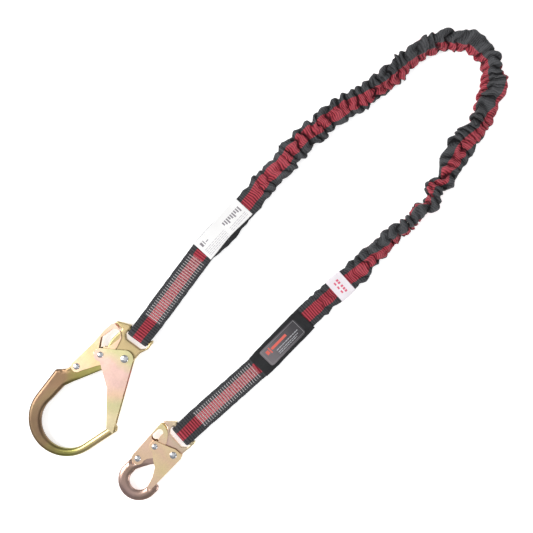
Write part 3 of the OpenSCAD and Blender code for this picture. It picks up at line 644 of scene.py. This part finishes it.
EYE_R, EYE_GAP = 4.5, 0.5
EYE_LOOP_R = EYE_R + EYE_GAP + WEB_T / 2      # the middle of the ply where it wraps the bar
FLAT_FROM = 30
STITCH_ROWS, STITCH_W = 28, 28
THREAD_W, THREAD_MARGIN = 1.1, 3
THREAD_FIRST = FLAT_FROM + THREAD_MARGIN + THREAD_W / 2
THREAD_STEP = (SEWN_L - 2 * THREAD_MARGIN - THREAD_W - FLAT_FROM) / (STITCH_ROWS - 1)
HOOK_Z = {end: joints[end + "_hook_swing"]["pos_m"][2] / MM for end in ("rebar", "snap")}
SLOPE_STEPS, LOOP_STEPS = 16, 28


def tangent_angle(point, centre, r, side):
    """Where round a circle a line from a point touches it."""
    d = point - centre
    return math.atan2(d.y, d.x) + side * math.acos(r / d.length)


def ply_path(bar_z):
    """Side view of the folded webbing, from its end on the floor round the bar to its top end."""
    bar = Vector((0, bar_z))
    low, high = THREAD_H + WEB_T / 2, THREAD_H + 1.5 * WEB_T
    lower, upper = Vector((FLAT_FROM, low)), Vector((FLAT_FROM, high))
    a0 = tangent_angle(lower, bar, EYE_LOOP_R, -1)
    a1 = tangent_angle(upper, bar, EYE_LOOP_R, 1)
    points = [Vector((x, low)) for x in range(SEWN_L, FLAT_FROM, -1)]
    first = bar + EYE_LOOP_R * Vector((math.cos(a0), math.sin(a0)))
    points += [lower.lerp(first, n / SLOPE_STEPS) for n in range(SLOPE_STEPS)]
    for n in range(LOOP_STEPS):
        a = a0 - (2 * math.pi - (a1 - a0)) * n / LOOP_STEPS
        points.append(bar + EYE_LOOP_R * Vector((math.cos(a), math.sin(a))))
    second = bar + EYE_LOOP_R * Vector((math.cos(a1), math.sin(a1)))
    points += [second.lerp(upper, n / SLOPE_STEPS) for n in range(SLOPE_STEPS)]
    points += [Vector((x, high)) for x in range(FLAT_FROM, SEWN_L + 1)]
    return points


PLY_SIDES, PLY_POWER = 36, 0.45
BAR_DRAW, BAR_REACH = 2.6, 16      # the loop is drawn in by this, up to this far from the bar
RAGGED, ROW_DRAW = 0.35, 0.3      # waviness of the edges, and how far the rows draw them in
ROW_SINK, ROW_SHADE = 0.16, 0.15    # how far the rows press into the ply, and how dark they are


def sewn_end(end, bar, heading):
    """One folded end of the webbing, with its edges drawn in a little by the stitching."""
    path = ply_path(HOOK_Z[end])
    forward, left = ways(heading)
    vertices, across, along, crease, thread = [], [], [], [], []
    travelled = 0
    for i, p in enumerate(path):
        a, b = path[max(i - 1, 0)], path[min(i + 1, len(path) - 1)]
        way = (b - a).normalized()
        normal = Vector((-way.y, way.x))
        width = WEB_W - BAR_DRAW * math.exp(-(max(p.x, 0) / BAR_REACH) ** 2)
        sewn = ease((p.x - THREAD_FIRST + 4) / 4)
        between = abs(math.sin(math.pi * (p.x - THREAD_FIRST) / THREAD_STEP))
        pull = 1 - sewn * between
        ragged = RAGGED * smooth_noise(p.x / 9, i * 0.001, 11)
        for k in range(PLY_SIDES):
            angle = 2 * math.pi * k / PLY_SIDES
            q, h = (squared(f(angle), PLY_POWER) for f in (math.cos, math.sin))
            side = q * (width / 2 + ragged - ROW_DRAW * sewn * pull)
            inner = 1 - ease((abs(side) - STITCH_W / 2) / 2)
            at = p + normal * (h * WEB_T / 2 * (1 - ROW_SINK * sewn * inner * pull))
            v = Vector((*bar, 0)) + forward * at.x + left * side + Vector((0, 0, at.y))
            vertices.append(v * MM)
            across.append(q * HALF_GIRTH / 2 * MM)
            along.append(travelled * MM)
            crease.append(ROW_SHADE * sewn * inner * pull)
            thread.append(sewn * inner)
        if i + 1 < len(path):
            travelled += (path[i + 1] - p).length
    piece = new_piece(end + "_sewn_end", vertices, tube_faces(len(path), PLY_SIDES), WEBBING,
                      "webbing", "webbing", across=across, along=along, crease=crease, sewn=thread)
    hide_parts(end + "_end_loop")


STITCHES, STITCH_SIDES = 11, 6
STITCH_GAP, STITCH_JITTER = 0.3, 0.12
STITCH_R, FIRST_ROW_R, STITCH_FLATNESS = 0.5, 0.62, 0.75
# Rings of a stitch: share of its length, height above the webbing, share of its radius
STITCH_RINGS = ((0, -0.25, 0.55), (0.2, 0.05, 0.95), (0.5, 0.12, 1), (0.8, 0.05, 0.95),
                (1, -0.25, 0.55))


def stitch_block(end, bar, heading):
    """Every stitch is its own short raised thread that dives into the webbing at both ends."""
    forward, left = ways(heading)
    rng = np.random.default_rng(7)
    vertices, faces = [], []
    pitch = STITCH_W / STITCHES

    def stitch(x, y0, z, up, r):
        first = len(vertices)
        for t, rise, thin in STITCH_RINGS:
            y = y0 + (pitch - STITCH_GAP) * t
            centre = Vector((*bar, 0)) + forward * x + left * y
            centre.z = z + up * rise
            for k in range(STITCH_SIDES):
                a = 2 * math.pi * k / STITCH_SIDES
                v = centre + r * thin * math.cos(a) * forward
                v.z += STITCH_FLATNESS * r * thin * math.sin(a)
                vertices.append(v * MM)
        rings = tube_faces(len(STITCH_RINGS), STITCH_SIDES)
        faces.extend(tuple(first + n for n in face) for face in rings)

    for row in range(STITCH_ROWS):
        for j in range(STITCHES):
            y0 = -STITCH_W / 2 + j * pitch + STITCH_GAP / 2
            for z, up in ((THREAD_H, -1), (THREAD_H + FLAT_T, 1)):
                x = THREAD_FIRST + row * THREAD_STEP + rng.uniform(-STITCH_JITTER, STITCH_JITTER)
                stitch(x, y0, z, up, STITCH_R if row else FIRST_ROW_R)
    piece = new_piece(end + "_stitches", vertices, faces, THREAD, "webbing", "thread")
    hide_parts(end + "_end_stitching")


for end_place in (("rebar", REBAR_BAR, REBAR_HEADING), ("snap", SNAP_BAR, SNAP_HEADING)):
    sewn_end(*end_place)
    stitch_block(*end_place)

# -------- straps inside the jacket


STRAP_SIDES, STRAP_SQUARE = 8, 1.5


def strap_inside(name, node, width, thick, off, material, slot):
    """A flat strap that follows the gathered jacket's own middle line and roll."""
    vertices, across, along = [], [], []
    for i, (centre, left, a) in enumerate(spine):
        for k in range(STRAP_SIDES):
            angle = 2 * math.pi * (k + 0.5) / STRAP_SIDES
            q, h = (math.copysign(min(1, STRAP_SQUARE * abs(f(angle))), f(angle))
                    for f in (math.cos, math.sin))
            side, rise = rolled(q * width / 2, off + h * thick / 2, a)
            vertices.append(centre + (side * left + rise * UP) * MM)
            across.append(q * width / 2 * MM)
            along.append(run[i] * MM)
    piece = new_piece(name, vertices, tube_faces(len(spine), STRAP_SIDES), material, "webbing",
                      slot, across=across, along=along)
    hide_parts(node)
    return piece


CORE_W, CORE_T, ELASTIC_W, ELASTIC_T, JACKET_WALL = 26, 1.5, 20, 0.9, 1.4
STRAP_GAP = 0.5 * (FLAT_T - 2 * JACKET_WALL - CORE_T - ELASTIC_T)
undyed = cloth_material("undyed_strap", (0.45, 0.42, 0.35), (0.8, 0.77, 0.68), 1.4 * MM)
rubbery = cloth_material("elastic_strap", (0.4, 0.38, 0.34), (0.7, 0.68, 0.62), 1.2 * MM)
core = strap_inside("core_webbing", "core_strap", CORE_W, CORE_T, -(STRAP_GAP + ELASTIC_T) / 2,
                    undyed, "core")
elastic = strap_inside("elastic_webbing", "elastic_strap", ELASTIC_W, ELASTIC_T,
                       (STRAP_GAP + CORE_T) / 2, rubbery, "elastic")

# -------- labels, sleeve and band

LABEL_L, LABEL_W, LABEL_T = 97, 36, 0.7
LABEL_FROM, LABEL_TURN = 12, -6
LABEL_Z = THREAD_H + FLAT_T + 0.1
FLAP_OUT = 8      # how far the backing stands out past the webbing's edge


def placed_on(bar, heading, start, turn):
    """A function from mm on a piece that is laid along a leg to metres in the frame."""
    origin = leg_point(bar, heading, SEWN_L + start)
    forward, left = ways(heading + turn)

    def place(x, y, z):
        return (Vector((origin.x, origin.y, z)) + x * forward + y * left) * MM
    return place


SHEET_COLUMNS = 30


def laid_sheet(name, place, xs, edges, height, thick, material, slot):
    """A thin closed sheet: rows at xs, each from edges(x)[0] to edges(x)[1], at height(x, y)."""
    vertices, across, along = [], [], []
    for layer in (0, 1):
        for x in xs:
            for y in evenly(*edges(x), SHEET_COLUMNS + 1):
                vertices.append(place(x, y, height(x, y) + thick * layer))
                across.append(y * MM)
                along.append((x - xs[0]) * MM)
    rows, wide = len(xs), SHEET_COLUMNS + 1
    top = rows * wide
    faces = []
    for a in (i * wide + j for i in range(rows - 1) for j in range(SHEET_COLUMNS)):
        faces.append((a, a + 1, a + wide + 1, a + wide))
        faces.append((top + a, top + a + wide, top + a + wide + 1, top + a + 1))
    rim = (list(range(SHEET_COLUMNS)) + [i * wide + SHEET_COLUMNS for i in range(rows - 1)]
           + [(rows - 1) * wide + j for j in range(SHEET_COLUMNS, 0, -1)]
           + [i * wide for i in range(rows - 1, 0, -1)])
    for a, b in zip(rim, rim[1:] + rim[:1]):
        faces.append((b, a, top + a, top + b))
    return new_piece(name, vertices, faces, material, "webbing", slot, across=across, along=along)


def label_material():
    """White stock with small print and a block of bars, none of which spells anything."""
    s = Shader("label_stock", Roughness=0.5, Specular_IOR_Level=0.4)
    lines = broken([(0.05, 0.5, y, y + 0.028) for y in (0.12, 0.2, 0.28, 0.36, 0.44)]
                   + [(0.58, 0.95, y, y + 0.028) for y in (0.14, 0.22, 0.3)], 3)
    heavy = [(x, x + 0.026, 0.56 - 0.05 * (n % 3), 0.72)
             for n, x in enumerate(evenly(0.55, 0.9, 9))]
    heavy += [(0.06, 0.1, 0.62, 0.82), (0.12, 0.135, 0.62, 0.82), (0.155, 0.21, 0.66, 0.7)]
    base = s.mix(s.noise(40, 3), (0.78, 0.77, 0.76), (0.90, 0.89, 0.88))
    base = printed(s, base, lines, (0.52, 0.50, 0.52), LABEL_L * MM, LABEL_W * MM)
    s.colour(printed(s, base, heavy, (0.24, 0.22, 0.24), LABEL_L * MM, LABEL_W * MM))
    s.bump(s.noise(90, 2), 0.4 * MM, 0.25)
    return s.material


on_label = placed_on(REBAR_BAR, REBAR_HEADING, LABEL_FROM, LABEL_TURN)


def label_wave(x, y):
    """How far the label stands off, with its two ends curling up."""
    curl = 0.9 * ease((x - 84) / 13) * ease((y + 4) / 20) + 0.5 * ease((10 - x) / 10)
    return 0.35 + 0.45 * smooth_noise(x / 24, y / 16, 20) * ease(x / 6) + curl


def label_edges(x):
    """Its loose edge is drawn in towards the middle."""
    return -LABEL_W / 2 + 2.4 * math.sin(math.pi * x / LABEL_L) ** 2, LABEL_W / 2 + 0.8


def backing_edge(x):
    """The bowed loose edge."""
    bulge = 0.85 + 0.35 * smooth_noise(x / 15, 0, 21) + 0.2 * (1 - x / LABEL_L)
    return -LABEL_W / 2 - 0.7 * FLAP_OUT * (1 - (2 * x / LABEL_L - 1) ** 2) * min(bulge, 1.15)


def backing_height(x, y):
    """Flat under the label, and sinking towards the floor past the webbing's edge."""
    over = max(0, -LABEL_W / 2 - y)
    return LABEL_Z + 0.1 - 0.055 * over * over + 0.15 * over * smooth_noise(x / 11, 0, 22)


label = laid_sheet(
    "warning_label_sheet", on_label, evenly(0, LABEL_L, 70), label_edges,
    lambda x, y: LABEL_Z + LABEL_T + label_wave(x, y), 0.35, label_material(), "label_white")
backing = laid_sheet(
    "label_backing_cloth", on_label, evenly(0.5, LABEL_L - 0.5, 70),
    lambda x: (backing_edge(x), LABEL_W / 2 - 0.6), backing_height, 0.5,
    cloth_material("backing_cloth", (0.006, 0.006, 0.007), (0.035, 0.037, 0.04)), "label_black")
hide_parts("warning_label")
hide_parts("label_backing")


WRAP_ROWS, WRAP_SIDES, WRAP_POWER = 60, 48, 0.35


def wrapped(name, place, length, half_w, low, high, thick, swell, material, slot, hem=0):
    """A flat tube of cloth with a rounded section and an open inside."""
    vertices, across, along = [], [], []
    for layer in (0, 1):
        for x in (length * i / (WRAP_ROWS - 1) for i in range(WRAP_ROWS)):
            edge = min(x, length - x)
            hemmed = 0.25 * (1 - ease((edge - hem) / 0.8)) if hem and layer == 0 else 0
            for k in range(WRAP_SIDES):
                a = 2 * math.pi * k / WRAP_SIDES
                q, h = (squared(f(a), WRAP_POWER) for f in (math.cos, math.sin))
                inset = thick * layer
                ripple = 0.3 * smooth_noise(x / 13, q * 1.5, 30) * ease(edge / 5)
                y = q * (half_w - inset - 0.6 * (1 - ease(edge / 12)) + ripple)
                z = (low + high) / 2 + h * ((high - low) / 2 + swell * ripple + hemmed - inset)
                vertices.append(place(x, y, max(z, 0.05)))
                across.append(q * (half_w + 3) * MM)
                along.append(x * MM)
    faces = []
    inner = WRAP_ROWS * WRAP_SIDES
    last = inner - WRAP_SIDES
    pairs = [(k, (k + 1) % WRAP_SIDES) for k in range(WRAP_SIDES)]
    for start in range(0, last, WRAP_SIDES):
        for a, b in ((start + k, start + beside) for k, beside in pairs):
            faces.append((a, b, b + WRAP_SIDES, a + WRAP_SIDES))
            faces.append((inner + a, inner + a + WRAP_SIDES, inner + b + WRAP_SIDES, inner + b))
    for a, b in pairs:
        faces.append((a, inner + a, inner + b, b))
        faces.append((last + a, last + b, inner + last + b, inner + last + a))
    return new_piece(name, vertices, faces, material, "webbing", slot, across=across, along=along)


SLEEVE_L, SLEEVE_T, SLEEVE_GAP, SLEEVE_FROM, SLEEVE_TURN = 107, 0.8, 0.3, 4, 4
SLEEVE_HALF = WEB_W / 2 + SLEEVE_GAP + 0.5 + SLEEVE_T
SLEEVE_TOP = THREAD_H + FLAT_T + SLEEVE_GAP + SLEEVE_T
on_sleeve = placed_on(SNAP_BAR, SNAP_HEADING, SLEEVE_FROM, SLEEVE_TURN)
sleeve_cloth = cloth_material("sleeve_cloth", (0.004, 0.004, 0.005), (0.028, 0.029, 0.032))
sleeve = wrapped("label_sleeve_cloth", on_sleeve, SLEEVE_L, SLEEVE_HALF, 0.05, SLEEVE_TOP,
                 SLEEVE_T * 0.7, 0.5, sleeve_cloth, "sleeve", hem=6)
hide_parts("label_sleeve")

PATCH_L, PATCH_W, PATCH_FROM, PATCH_CORNER = 76, 30, 17, 4


def patch_edges(x):
    """The patch's two long edges at x, with rounded corners."""
    near = max(0, PATCH_CORNER - (x - PATCH_FROM), PATCH_CORNER - (PATCH_FROM + PATCH_L - x))
    drop = PATCH_CORNER - math.sqrt(max(0, PATCH_CORNER ** 2 - near ** 2))
    return -PATCH_W / 2 + drop, PATCH_W / 2 - drop


def patch_material():
    """Glossy black with a thin frame, a plain red mark and small print that spells nothing."""
    s = Shader("glossy_patch", Roughness=0.22, Coat_Weight=0.5, Coat_Roughness=0.12)
    length, width = PATCH_L * MM, PATCH_W * MM
    glare = s.step(s.math("ADD", s.attribute("along"), s.math("MULTIPLY", s.noise(60, 2), 0.03)),
                   0.1 * length, 1.2 * length)
    base = s.mix(glare, (0.15, 0.13, 0.14), (0.028, 0.025, 0.03))
    frame_bars = [(0.03, 0.97, 0.07, 0.09), (0.03, 0.97, 0.91, 0.93), (0.03, 0.04, 0.07, 0.93),
                  (0.96, 0.97, 0.07, 0.93)]
    base = printed(s, base, frame_bars, (0.2, 0.19, 0.2), length, width)
    mark = [(0.10, 0.17, 0.56, 0.78), (0.19, 0.22, 0.50, 0.84), (0.24, 0.66, 0.6, 0.74)]
    base = printed(s, base, mark, (0.66, 0.11, 0.08), length, width)
    small = broken([(0.3, 0.9, 0.4, 0.45), (0.3, 0.86, 0.27, 0.31), (0.3, 0.8, 0.18, 0.215)], 5)
    s.colour(printed(s, base, small, (0.36, 0.36, 0.38), length, width))
    s.bump(s.noise(260, 2), 0.15 * MM, 0.2)
    return s.material


corner_rows = [0.05, 0.5, 1.2, 2, 3]
patch_rows = corner_rows + evenly(PATCH_CORNER, PATCH_L - PATCH_CORNER, 40)
patch_rows += [PATCH_L - x for x in corner_rows[::-1]]
patch = laid_sheet(
    "sleeve_patch_sheet", on_sleeve, [PATCH_FROM + x for x in patch_rows], patch_edges,
    lambda x, y: SLEEVE_TOP + 0.12 + 0.12 * smooth_noise(x / 15, y / 15, 40), 0.5,
    patch_material(), "patch")
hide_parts("sleeve_patch")

BAND_AT, BAND_L, BAND_TURN = ROUTE[28], 28, 177
BAND_HALF, BAND_TOP, BAND_T = 20.9, 12.4, 0.6


def band_material():
    """White tape with two rows of plain red blocks."""
    s = Shader("band_tape", Roughness=0.55, Specular_IOR_Level=0.35)
    base = s.mix(s.noise(50, 3), (0.78, 0.70, 0.74), (0.88, 0.85, 0.88))
    marks = [(0.36, 0.5, y, y + 0.09) for y in (0.18, 0.3, 0.47, 0.6, 0.72)]
    marks += [(0.6, 0.7, y, y + 0.12) for y in (0.22, 0.42, 0.63)]
    s.colour(printed(s, base, marks, (0.72, 0.12, 0.2), BAND_L * MM, 44 * MM))
    s.bump(s.noise(130, 3), 0.4 * MM, 0.4)
    return s.material


def on_band(x, y, z):
    """A point of the band, in mm from its first edge, in the frame, in metres."""
    forward, left = ways(BAND_TURN)
    return (Vector((*BAND_AT[:2], z)) + (x - BAND_L / 2) * forward + y * left) * MM


band = wrapped("inspection_band_tape", on_band, BAND_L, BAND_HALF, 0.1, BAND_TOP, BAND_T, 1,
               band_material(), "band")
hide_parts("inspection_band")

# -------- hooks

# Each hook's eye bar and turn in the frame; its eye bar in its own drawing, whose origin is the
# gate's rivet; the body's thickness; where its bar becomes round (fade, from one y to the other),
# how far in from the walls (round) and how much lower the rim is there (fall); and the radii of
# its gate rivet's head and shank
HOOKS = {
    "rebar": dict(bar=REBAR_BAR, turn=REBAR_HEADING - 90, eye=(-2.5, 41), thick=10,
                  fade=(-62, -88), round=5, fall=0.4, gate_rivet=(6.2, 4)),
    "snap": dict(bar=SNAP_BAR, turn=SNAP_HEADING + 7 - 90, eye=(-10, 33.5), thick=8,
                 fade=(-34, -50), round=7.5, fall=0.6, gate_rivet=(5.5, 3.5)),
}
LEVER_RIVET, CATCH_PIN, HEAD_H = (5, 3), (4.7, 3), 2.2


def to_frame(kind, x, y):
    """A point of a hook's own drawing, in mm, in the frame, in metres."""
    h = HOOKS[kind]
    a = math.radians(h["turn"])
    dx, dy = x - h["eye"][0], y - h["eye"][1]
    return Vector((h["bar"][0] + dx * math.cos(a) - dy * math.sin(a),
                   h["bar"][1] + dx * math.sin(a) + dy * math.cos(a), HOOK_Z[kind])) * MM


def to_drawing(kind, v):
    """The opposite: x, y of the hook's drawing and z from its middle plane, in mm."""
    h = HOOKS[kind]
    a = math.radians(-h["turn"])
    dx, dy = v.x / MM - h["bar"][0], v.y / MM - h["bar"][1]
    return (dx * math.cos(a) - dy * math.sin(a) + h["eye"][0],
            dx * math.sin(a) + dy * math.cos(a) + h["eye"][1], v.z / MM - HOOK_Z[kind])


JOIN_WITHIN, FLAT_WITHIN = 0.002 * MM, 0.8      # metres, and degrees
VOXEL, SOFTENINGS = 0.75 * MM, 14
EDGE_ROUND, EDGE_STEPS, EDGE_FROM = 0.5 * MM, 3, 38     # of pressed sheet, from this many degrees


def copy_of(node, name, material):
    """A new piece from a CAD node's shape, with its doubled points joined and flat faces whole."""
    mesh = nodes[node].data.copy()
    mesh.name = name
    bm = bmesh.new()
    bm.from_mesh(mesh)
    bmesh.ops.remove_doubles(bm, verts=bm.verts, dist=JOIN_WITHIN)
    bmesh.ops.dissolve_limit(bm, angle_limit=math.radians(FLAT_WITHIN), verts=bm.verts,
                             edges=bm.edges)
    bm.to_mesh(mesh)
    bm.free()
    mesh.materials.clear()
    mesh.materials.append(material)
    smooth(mesh)
    return add_object(name, mesh)


def settle(piece, body, node):
    """Applies a piece's modifiers, then lets it ride on its body in place of its node."""
    bpy.context.view_layer.update()
    depsgraph = bpy.context.evaluated_depsgraph_get()
    made = bpy.data.meshes.new_from_object(piece.evaluated_get(depsgraph))
    piece.modifiers.clear()
    piece.data = made
    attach(piece, body)
    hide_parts(node)


WALL_BAND, RIVET_ROOM = 0.2, 5      # walls are sought in the middle, away from the rivet's hole


def forged_body(kind, material):
    """The hook's body with a forging's soft edges and a crowned bar round its bowl."""
    h = HOOKS[kind]
    node = kind + "_hook_body"
    piece = copy_of(node, kind + "_forged_body", material)
    remesh = piece.modifiers.new("grain", "REMESH")
    remesh.mode = "VOXEL"
    remesh.voxel_size = VOXEL
    soften = piece.modifiers.new("soften", "SMOOTH")
    soften.factor = 0.5
    soften.iterations = SOFTENINGS
    settle(piece, kind + "_hook", node)
    drawn = [to_drawing(kind, v.co) for v in piece.data.vertices]
    low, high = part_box(kind + "_lever_rivet")
    pin_x, pin_y, _ = to_drawing(kind, (low + high) / 2)
    walls = [(x, y, 0) for x, y, z in drawn
             if abs(z) < WALL_BAND * h["thick"] and math.hypot(x - pin_x, y - pin_y) > RIVET_ROOM]
    tree = kdtree.KDTree(len(walls))
    for n, wall in enumerate(walls):
        tree.insert(wall, n)
    tree.balance()
    for v, (x, y, z) in zip(piece.data.vertices, drawn):
        share = ease((h["fade"][0] - y) / (h["fade"][0] - h["fade"][1]))
        if share > 0:
            inside = clamp(tree.find((x, y, 0))[2] / h["round"])
            v.co.z = (HOOK_Z[kind] + z * (1 - h["fall"] * share * (1 - inside) ** 2)) * MM
    smooth(piece.data)


def pressed_sheet(kind, part, body, material):
    """A gate or lever with the rounded edges of pressed sheet."""
    node = kind + "_" + part
    piece = copy_of(node, node + "_plate", material)
    bevel = piece.modifiers.new("edges", "BEVEL")
    bevel.width = EDGE_ROUND
    bevel.segments = EDGE_STEPS
    bevel.limit_method = "ANGLE"
    bevel.angle_limit = math.radians(EDGE_FROM)
    normals = piece.modifiers.new("normals", "WEIGHTED_NORMAL")
    normals.keep_sharp = False
    settle(piece, body, node)


RIVET_SIDES, DOME_STEPS = 56, 12
RIM_H, RIM_ROUND = 0.35, 0.25      # of a head, before its dome begins


def rivet_piece(node, body, head_r, shank_r):
    """A turned rivet: a shank and two domed heads, each with a small step at its rim."""
    low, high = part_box(node)
    centre = (low + high) / 2
    half = (high.z - low.z) / 2 / MM
    seat = half - HEAD_H
    dome = [(head_r * math.cos(a), seat + RIM_H + (HEAD_H - RIM_H) * math.sin(a))
            for a in evenly(0, math.pi / 2, DOME_STEPS)]
    rim = [(head_r - RIM_ROUND, seat), (head_r, seat + 0.2)]
    outline = [(shank_r, 0), (shank_r, seat)] + rim + dome[:-1] + [(0.02, half)]
    outline = [(r, -z) for r, z in outline[::-1]] + outline[1:]
    turns = [2 * math.pi * k / RIVET_SIDES for k in range(RIVET_SIDES)]
    vertices = [centre + Vector((r * math.cos(a), r * math.sin(a), z)) * MM
                for r, z in outline for a in turns]
    piece = new_piece(node + "_turned", vertices, tube_faces(len(outline), RIVET_SIDES), STEEL,
                      body, "rivet_steel")
    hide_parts(node)


OLIVE, LEAF, BRASS = (0.20, 0.18, 0.055), (0.30, 0.29, 0.09), (0.30, 0.24, 0.09)
RUST, DUSK, TAN = (0.20, 0.10, 0.08), (0.16, 0.075, 0.075), (0.66, 0.50, 0.28)
GOLD, PEACH, PINK = (0.90, 0.68, 0.36), (0.95, 0.66, 0.46), (0.92, 0.62, 0.56)
GREEN, STRAW = (0.66, 0.70, 0.33), (0.92, 0.84, 0.48)
BROWN, MAUVE, CLAY = (0.42, 0.28, 0.21), (0.50, 0.34, 0.31), (0.6, 0.42, 0.31)
CREAM, ROSE = (1, 0.80, 0.44), (1, 0.70, 0.54)


def plating(kind, part, tints, start, end, runs, rough=0.3):
    """Zinc plating whose colours run between two points of the hook's own drawing."""
    return zinc_material(kind + "_" + part + "_zinc", tints, to_frame(kind, *start),
                         to_frame(kind, *end), runs, rough)


forged_body("rebar", plating("rebar", "body", (OLIVE, BRASS, LEAF, OLIVE), (45, -100), (-82, -150),
                             (TAN, TAN, LEAF, OLIVE, RUST, DUSK, DUSK), 0.36))
forged_body("snap", plating("snap", "body", (BROWN, MAUVE, CLAY), (10, 38), (-14, -96),
                            (STRAW, PINK, MAUVE, BROWN, MAUVE)))
pressed_sheet("rebar", "gate", "rebar_gate_unit", plating(
    "rebar", "gate", (PINK, PEACH, PINK), (-14, 0), (2, -92),
    (GREEN, PINK, PINK, PEACH, GREEN, STRAW)))
pressed_sheet("rebar", "lock_lever", "rebar_lock_unit", plating(
    "rebar", "lever", (GOLD, PEACH, GOLD), (-53, -58), (-38, 34), (PEACH, GOLD, GOLD, PEACH, PINK)))
pressed_sheet("snap", "gate", "snap_gate_unit", plating(
    "snap", "gate", (CREAM, ROSE, PEACH), (0, 8), (0, -66), (CREAM, PEACH, CREAM, ROSE, ROSE)))
pressed_sheet("snap", "lock_lever", "snap_lock_unit", plating(
    "snap", "lever", (PEACH, ROSE, GOLD), (-38, -48), (-40, 24), (PEACH, ROSE, PEACH, STRAW)))

for kind, hook in HOOKS.items():
    rivet_piece(kind + "_gate_rivet", kind + "_hook", *hook["gate_rivet"])
    rivet_piece(kind + "_lever_rivet", kind + "_hook", *LEVER_RIVET)
    rivet_piece(kind + "_catch_pin", kind + "_gate_unit", *CATCH_PIN)
    for part in ("gate_spring", "lever_spring"):
        spring = nodes[kind + "_" + part]
        spring.data.materials.clear()
        spring.data.materials.append(SPRING)

# -------- floor

tuple(centres[0])
[tuple(c) for c in centres[::3]]

FLOOR_HALF, FLOOR_DROP = 4, 0.0002      # metres
FLOOR_DARK, FLOOR_LIGHT = (0.86, 0.86, 0.86), (0.88, 0.88, 0.88)

floor_mesh = bpy.data.meshes.new("floor")
corners = [(x * FLOOR_HALF, y * FLOOR_HALF, 0) for x, y in ((-1, -1), (1, -1), (1, 1), (-1, 1))]
floor_mesh.from_pydata(corners, [], [(0, 1, 2, 3)])
floor_shader = Shader("floor", Roughness=0.9, Emission_Color=(1, 1, 1, 1), Emission_Strength=0.6)
floor_shader.colour(floor_shader.mix(floor_shader.noise(3, 1), FLOOR_DARK, FLOOR_LIGHT))
floor_mesh.materials.append(floor_shader.material)
floor = add_object("floor", floor_mesh)
floor.location.z = -FLOOR_DROP
